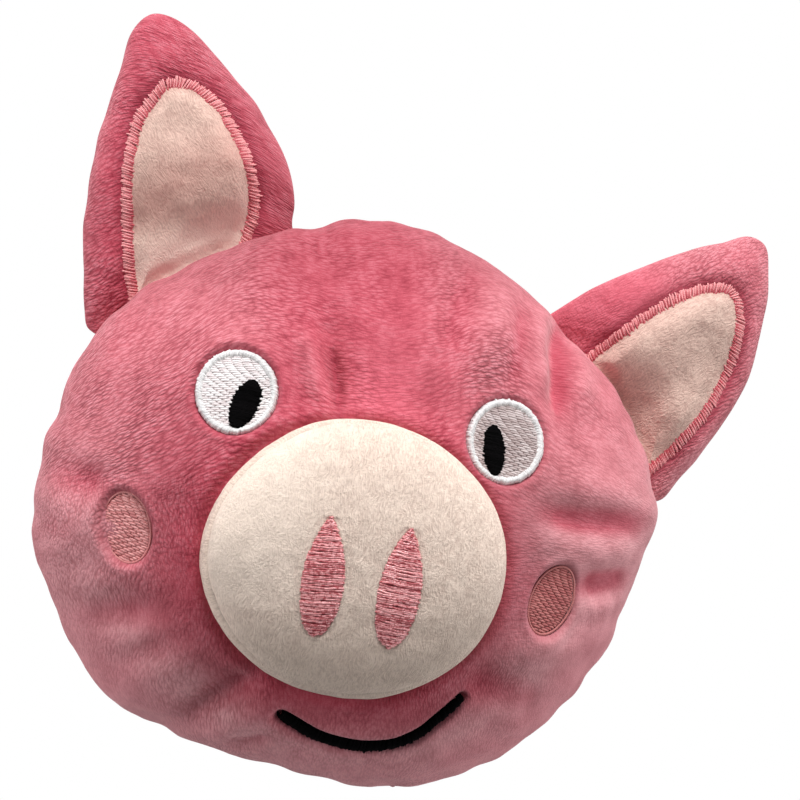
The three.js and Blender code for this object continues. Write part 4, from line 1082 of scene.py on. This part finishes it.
def mouth_width(t):
    """Round at its left end and thinner towards the right one."""
    rounded = np.sqrt(np.clip(1 - (1 - np.clip(t / 0.03, 0, 1)) ** 2, 0.2, 1))
    return (MOUTH_WIDTH + (MOUTH_END_WIDTH - MOUTH_WIDTH) * t**3) * rounded


def build_mouth():
    lines = across_path(spline(MOUTH_LINE, 120), mouth_width, settled_face, pitch=0.2, edge_rise=-0.75,
                        middle_rise=-0.02, slant=0.18, jitter=0.07)
    satin = threads("mouth_satin", BLACK_THREAD, lines, radius=0.14, flat=0.9)
    dress(satin, "mouth", "head")


# Ears
def share_within(xy, middle, outline):
    """Share of the way from a middle to the outline round it, for each point."""
    spokes, off = outline - middle, xy - middle
    turn = np.arctan2(spokes[:, 1], spokes[:, 0])
    order = np.argsort(turn)
    lengths = np.linalg.norm(spokes, axis=1)
    reach = np.interp(np.arctan2(off[..., 1], off[..., 0]), turn[order], lengths[order], period=2 * np.pi)
    return np.hypot(off[..., 0], off[..., 1]) / reach


class Ear:
    """Surfaces of one ear in its own frame: x across, y outward from the root's chord."""

    def __init__(self, side):
        self.side, self.shape = side, EARS[side]
        self.origin, self.across, self.middle, self.lining_middle = (
            np.array(self.shape[key]) for key in ("origin", "across", "middle", "lining_middle"))
        self.outward = left_of(self.across)
        root_ends = self.root_arc(0.3, 0, 1, 1)
        edge = spline([root_ends[0], *self.shape["edge"], root_ends[1]], 260)
        self.edge_and_root = np.concatenate([edge, self.root_arc(-1.4, 0, 1, 40)[::-1]])
        self.outline = closed(self.edge_and_root, 400)
        lining_root = self.root_arc(0.3 + LINING_ROOT, *self.shape["lining_ends"], 12)
        self.border = spline([lining_root[0], *self.shape["border"], lining_root[-1]], 160)
        self.lining_edge = np.concatenate([self.border, lining_root[::-1]])

    def root_arc(self, out, start, end, steps):
        """Points at a distance outside the head's rim, between two shares of the root."""
        first, last = self.shape["ends"]
        angle = np.radians(first + (last - first) * np.linspace(start, end, steps + 1))
        offset = on_circle(head_rim(angle) + out, angle) - self.origin
        return np.stack([offset @ self.across, offset @ self.outward], 1)

    def inside_border(self, xy):
        """How far inside the border's line each point is; negative is outside."""
        far, _, _ = to_path(xy, even(np.concatenate([self.lining_edge, self.lining_edge[:1]]), 90))
        return np.where(share_within(xy, self.lining_middle, self.lining_edge) < 1, far, -far)

    def height(self, xy, share, depth):
        taper = EAR_ROOT_SHARE + (1 - EAR_ROOT_SHARE) * smoothstep(xy[..., 1], 0, EAR_ROOT_REACH)
        return SEAM_GAP + depth * swell(share, EAR_FULLNESS) * taper

    def front(self, xy, share=None):
        """Height of the front cover, drawn in along the satin border and slack inside it."""
        share = share_within(xy, self.middle, self.edge_and_root) if share is None else share
        inside = self.inside_border(xy)
        rise = self.height(xy, share, EAR_FRONT_DEPTH)
        drawn = -0.9 * bell(inside - 0.2, 1.6) - 0.35 * smoothstep(inside, 0.5, 3)
        flat = stacked(xy[..., 0], xy[..., 1], 0)
        slack = 0.3 * noise(flat, 5, 31 + len(self.side)) + 0.12 * noise(flat, 2.4, 33)
        for height, width, path in self.shape["folds"]:
            slack += height * bell(to_path(xy, spline(path, 6))[0], width)
        drawn = drawn * smoothstep(share, 1.0, 0.86) * smoothstep(xy[..., 1], 0, 5)
        return np.maximum(SEAM_GAP, rise + drawn + slack * smoothstep(share, 1.0, 0.9))

    def settle(self, piece):
        """Moves a piece from the ear's frame, x, y and height, to its place on the part."""
        points = vertex_values(piece.data, "co") / MM
        xy = self.origin + points[:, :1] * self.across + points[:, 1:2] * self.outward
        place_vertices(piece.data, np.concatenate([xy, SEAM_LEVEL + points[:, 2:]], 1))
        piece.data.update()
        self.bend(piece)

    def bend(self, piece):
        """Bakes the piece's transform into its mesh."""
        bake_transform(piece)


def build_ear(side):
    ear = Ear(side)
    left = side == "left"

    def rim_waves(grid, share):
        return 0.25 * noise(grid * [1, 1, 0], 4, 37) * smoothstep(share, 0.6, 1)

    def front_cloth(grid, normals, share):
        x, y = grid[..., 0], grid[..., 1]
        inside = ear.inside_border(grid[..., :2])
        flat = smoothstep(inside, -0.6, 0.3)
        raised = (0.1 * noise(grid, 2.2, 35) + 0.03 * noise(grid, 0.9, 36)) * smoothstep(share, 1.0, 0.97)
        raised = (raised + rim_waves(grid, share)) * (1 - flat) - 0.18 * flat
        moved = grid + normals * raised[..., None]
        moved[..., 2] = np.maximum(moved[..., 2], 0.02)
        nap = np.clip((0.15 if left else 0.85) + 0.3 * noise(grid, 6, 38), 0, 1)
        relief = np.clip(1.2 + 0.3 * noise(grid, 8, 39), 0.1, 1.6)
        # Painted shadow just outside the satin border
        shade = 0.7 * bell(inside + 0.75, 0.8)
        # Painted shading and painted sheen: sheen near the rim; the left ear a little shaded, with a fuller,
        # darker red and no sheen at its tip; the right ear painted lighter, most beside the head, with more
        # sheen farther from the head
        painted_shading = 0.15 * noise(grid, 7, 45) + (0.1 if left else -0.12)
        painted_sheen = 0.14 * smoothstep(share, 0.75, 1.0)
        if left:
            tip = smoothstep(y, 24, 31)
            painted_shading += 0.1 * smoothstep(x, 10, 15) - 0.25 * tip
            shade, painted_sheen = shade + 0.12 * tip, painted_sheen * (1 - tip)
        else:
            by_head = smoothstep(-x, 2, 8) * smoothstep(-y, -18, -8)
            painted_shading, relief = painted_shading - 0.35 * by_head, relief - 0.4 * by_head
            painted_sheen += (0.35 + 0.2 * smoothstep(x, 4, 12)) * (1 - 0.6 * by_head)
        return moved, stacked(nap, relief, shade), stacked(painted_sheen, painted_shading, 0), combed

    def combed(cloth):
        """Rows of pile lie across the ear and bend down on the left ear's inner side."""
        x, y = cloth[..., 0], cloth[..., 1]
        return stacked(x, y + (0.05 * np.clip(x, 0, None) ** 2 if left else 0), 0)

    def back_cloth(grid, normals, share):
        raised = 0.2 * noise(grid, 5, 41) + 0.12 * noise(grid, 2.2, 42) + 0.05 * noise(grid, 0.9, 43)
        moved = grid + normals * (raised * smoothstep(share, 1.0, 0.97) + rim_waves(grid, share))[..., None]
        moved[..., 2] = np.minimum(moved[..., 2], -0.02)
        return moved, stacked(np.clip(0.4 + 0.5 * noise(grid, 6, 44), 0, 1), 0.6, 0)

    def lining_level(xy, share):
        return ear.front(xy) + 0.04 + 0.4 * smoothstep(ear.inside_border(xy), 0.4, 2.4)

    def lining_cloth(grid, normals, share):
        flat, y = grid * [1, 1, 0], grid[..., 1]
        folds = 0.22 * noise(flat, 4, 51) * smoothstep(share, 0.98, 0.7) + 0.06 * noise(flat, 1.5, 52)
        # Painted shade near the lining's edge; on the left ear a painted shade band across the middle and
        # painted light near the root
        shade = 0.25 * smoothstep(share, 0.9, 0.97)
        if left:
            shade += 0.4 * bell(y - 11, 4) - bell(y - 2.5, 4) + 0.05
        return grid + normals * folds[..., None], stacked(0, 1, shade)

    shares = even_shares(EAR_RADIUS, EAR_FRONT_DEPTH, EAR_FULLNESS, 56)
    front = cover(f"ear_cover_front_{side}", PINK, ear.outline, ear.middle, shares, ear.front, front_cloth,
                  tuck=((0.5, 0.08), (1.2, 0.1)))
    back = cover(f"ear_cover_back_{side}", PINK, ear.outline, ear.middle, shares,
                 lambda xy, share: -ear.height(xy, share, EAR_BACK_DEPTH), back_cloth, flip=True,
                 tuck=((0.5, -0.08), (1.2, -0.1)))
    lining = cover(f"ear_lining_cloth_{side}", LINING, closed(ear.lining_edge, 240), ear.lining_middle,
                   np.linspace(0, 1, 46), lining_level, lining_cloth)
    line = even(ear.border if left else ear.border[::-1], 400)
    paths, normals = across_path(line, ear.shape["border_width"], ear.front, pitch=0.19, edge_rise=-0.12,
                                 middle_rise=0.2, slant=0.2, jitter=0.1)
    low = np.arange(len(paths)) % 2  # every second thread lies lower and is darker, painted shade between the raised ones
    paths += rng.normal(0, 0.03, (len(paths), 1, 3))
    paths[:, :, 2] -= 0.04 * low[:, None]
    tones = np.clip(0.8 - 0.65 * low + rng.normal(0, 0.1, len(paths)), 0, 1)
    border = threads(f"ear_satin_{side}", BORDER_THREAD, (paths, normals), radius=0.11, tones=tones)
    for piece, node, slot in ((front, "front_panel", "plush"), (back, "back_panel", "plush"),
                              (lining, "lining", "lining"), (border, "border", "pink_thread")):
        dress(piece, f"ear_{node}_{side}")
        ear.settle(piece)
    corners = vertex_values(lining.data, "co")[:, :2]


# What is inside, and the seams
def softened(node, name, material, ruffle, size, seed):
    """Rounder, finer copy of a hidden solid."""
    piece = add(name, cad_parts[node].data.copy())
    piece.data.materials.clear()
    piece.data.materials.append(material)
    piece.modifiers.new("weld", "WELD").merge_threshold = 1e-6
    finer = piece.modifiers.new("finer", "SUBSURF")
    finer.subdivision_type = "SIMPLE"
    finer.levels = finer.render_levels = 2
    mesh = bpy.data.meshes.new_from_object(piece.evaluated_get(bpy.context.evaluated_depsgraph_get()))
    piece.modifiers.clear()
    piece.data = mesh
    points = vertex_values(mesh, "co") / MM
    inward = ruffle * (0.6 + 0.5 * noise(points, size, seed))
    place_vertices(mesh, points - vertex_values(mesh, "normal") * inward[:, None])
    mesh.update()
    mesh.shade_smooth()
    dress(piece, node)
    return piece


def running_stitches(name, node, line, material, stitch=2.2):
    """Stitches along a closed line (points, 3) inside a seam."""
    fine = 600
    path = even(np.concatenate([line, line[:1]]), fine)
    count = round(np.linalg.norm(np.diff(path, axis=0), axis=1).sum() / stitch)
    at = (np.arange(count)[:, None] + np.linspace(0.06, 0.94, 9)) / count * fine
    rows = np.stack([np.interp(at, np.arange(fine + 1), path[:, axis]) for axis in range(3)], -1)
    rows[..., 2] += np.where(np.arange(count) % 2, 0.1, -0.1)[:, None] * np.sin(np.linspace(0, np.pi, 9))
    normals = np.broadcast_to([0.0, 0.0, 1.0], rows.shape)
    dress(threads(name, material, (rows, normals), radius=0.14), node, "head")


def build_inside():
    for node, name, material, slot, ruffle, size in (
        ("wadding_front", "wadding_fluff_front", WADDING, "wadding", 0.35, 2.5),
        ("wadding_back", "wadding_fluff_back", WADDING, "wadding", 0.35, 2.5),
        ("snout_filling", "snout_fluff", WADDING, "wadding", 0.3, 2.0),
        ("sachet_front", "sachet_cloth_front", SACHET, "sachet", 0.04, 3.0),
        ("sachet_back", "sachet_cloth_back", SACHET, "sachet", 0.04, 3.0),
        ("valerian_root", "valerian_chips", ROOT, "valerian", 0.5, 1.6),
    ):
        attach(softened(node, name, material, ruffle, size, 61), "head")
    for side in EARS:
        fluff = softened(f"ear_wadding_{side}", f"ear_fluff_{side}", WADDING, 0.35, 1.8, 62)
        Ear(side).bend(fluff)
    inset = 1.6  # of the stitches from the edge
    rim = head_outline(480)
    seam = rim - unit(rim) * inset
    seam = stacked(seam[:, 0], seam[:, 1], SEAM_LEVEL)
    running_stitches("head_seam_stitches", "head_seam_thread", seam, SEAM_THREAD)
    rim = snout_outline(300)
    rim = rim - unit(rim - SNOUT_CENTRE) * inset
    seam = stacked(rim[:, 0], rim[:, 1], snout_seam(rim))
    running_stitches("snout_seam_stitches", "snout_seam_thread", seam, WHITE_THREAD)


def build_closing():
    """Hand-sewn stitches across the seam under the chin."""
    turns, first, last, reach = 18, -112, -68, 0.9
    corner = np.arange(turns + 1)
    fine = np.linspace(0, turns, turns * 8 + 1)
    angle = np.interp(fine, corner, np.radians(first + (last - first) * corner / turns))
    z = np.interp(fine, corner, np.where(corner % 2, reach, -reach))
    rim = on_circle(head_rim(angle) - 0.95 * bell(z, 1.2) + 0.12, angle)
    points = stacked(rim[:, 0], rim[:, 1], SEAM_LEVEL + z)
    for _ in range(2):
        points[1:-1] = (points[:-2] + 2 * points[1:-1] + points[2:]) / 4
    normals = stacked(np.cos(angle), np.sin(angle), 0)
    piece = threads("closing_stitches", SEAM_THREAD, (points[None], normals[None]), radius=0.2, flat=1.0,
                    sides=8)
    dress(piece, "closing_thread", "head")


# Floor and lights
LIGHTS = {  # place in metres, power, size
    "key": ((-0.03, 0.57, 0.34), 5.0, 0.34),
    "right": ((0.55, 0, 0.25), 1.35, 0.30),
    "left": ((-0.55, 0, 0.25), 1.35, 0.30),
}


def build_stage():
    """White ground that shows plain white and takes light only close under the toy."""
    mesh = bpy.data.meshes.new("floor")
    mesh.from_pydata([(-3, -3, 0), (3, -3, 0), (3, 3, 0), (-3, 3, 0)], [], [(0, 1, 2, 3)])
    s = Nodes(bpy.data.materials.new("floor"))
    far = s.node("VectorMath", {0: s.node("TexCoord").outputs["Object"]}, operation="LENGTH").outputs["Value"]
    glowing = s.ramp(far, 0.0, 1.0, 0.024, 0.031, "LINEAR") * s.node("LightPath").outputs["Is Camera Ray"]
    lit = s.node("BsdfDiffuse", {"Color": (0.9, 0.9, 0.9)})
    glow = s.node("Emission", {"Color": (1, 1, 1), "Strength": 1})
    s.node("OutputMaterial", {"Surface": s.mix_shaders(glowing, lit, glow)})
    mesh.materials.append(s.owner)
    add("floor", mesh)

    bpy.context.scene.world = bpy.data.worlds.new("world")
    s = Nodes(bpy.context.scene.world)
    soft = s.node("Background", {"Strength": 0.16, "Color": (0.97, 0.98, 1.0)})
    plain = s.node("Background", {"Color": (1, 1, 1)})
    seen = s.node("LightPath").outputs["Is Camera Ray"]
    s.node("OutputWorld", {"Surface": s.mix_shaders(seen, soft, plain)})

    for name, (place, power, size) in LIGHTS.items():
        data = bpy.data.lights.new(name, "AREA")
        data.energy, data.size = power, size
        light = add(name, data)
        light.location = place
        light.rotation_mode = "QUATERNION"
        light.rotation_quaternion = (Vector((0, 0, 0.025)) - Vector(place)).to_track_quat("-Z", "Y")
    bpy.context.scene.view_settings.view_transform = "Standard"


make_camera()
build_stage()
build_head()
build_snout()
for side in EYES:
    build_eye(side)
    build_cheek(side)
build_mouth()
for side in EARS:
    build_ear(side)
build_inside()
build_closing()
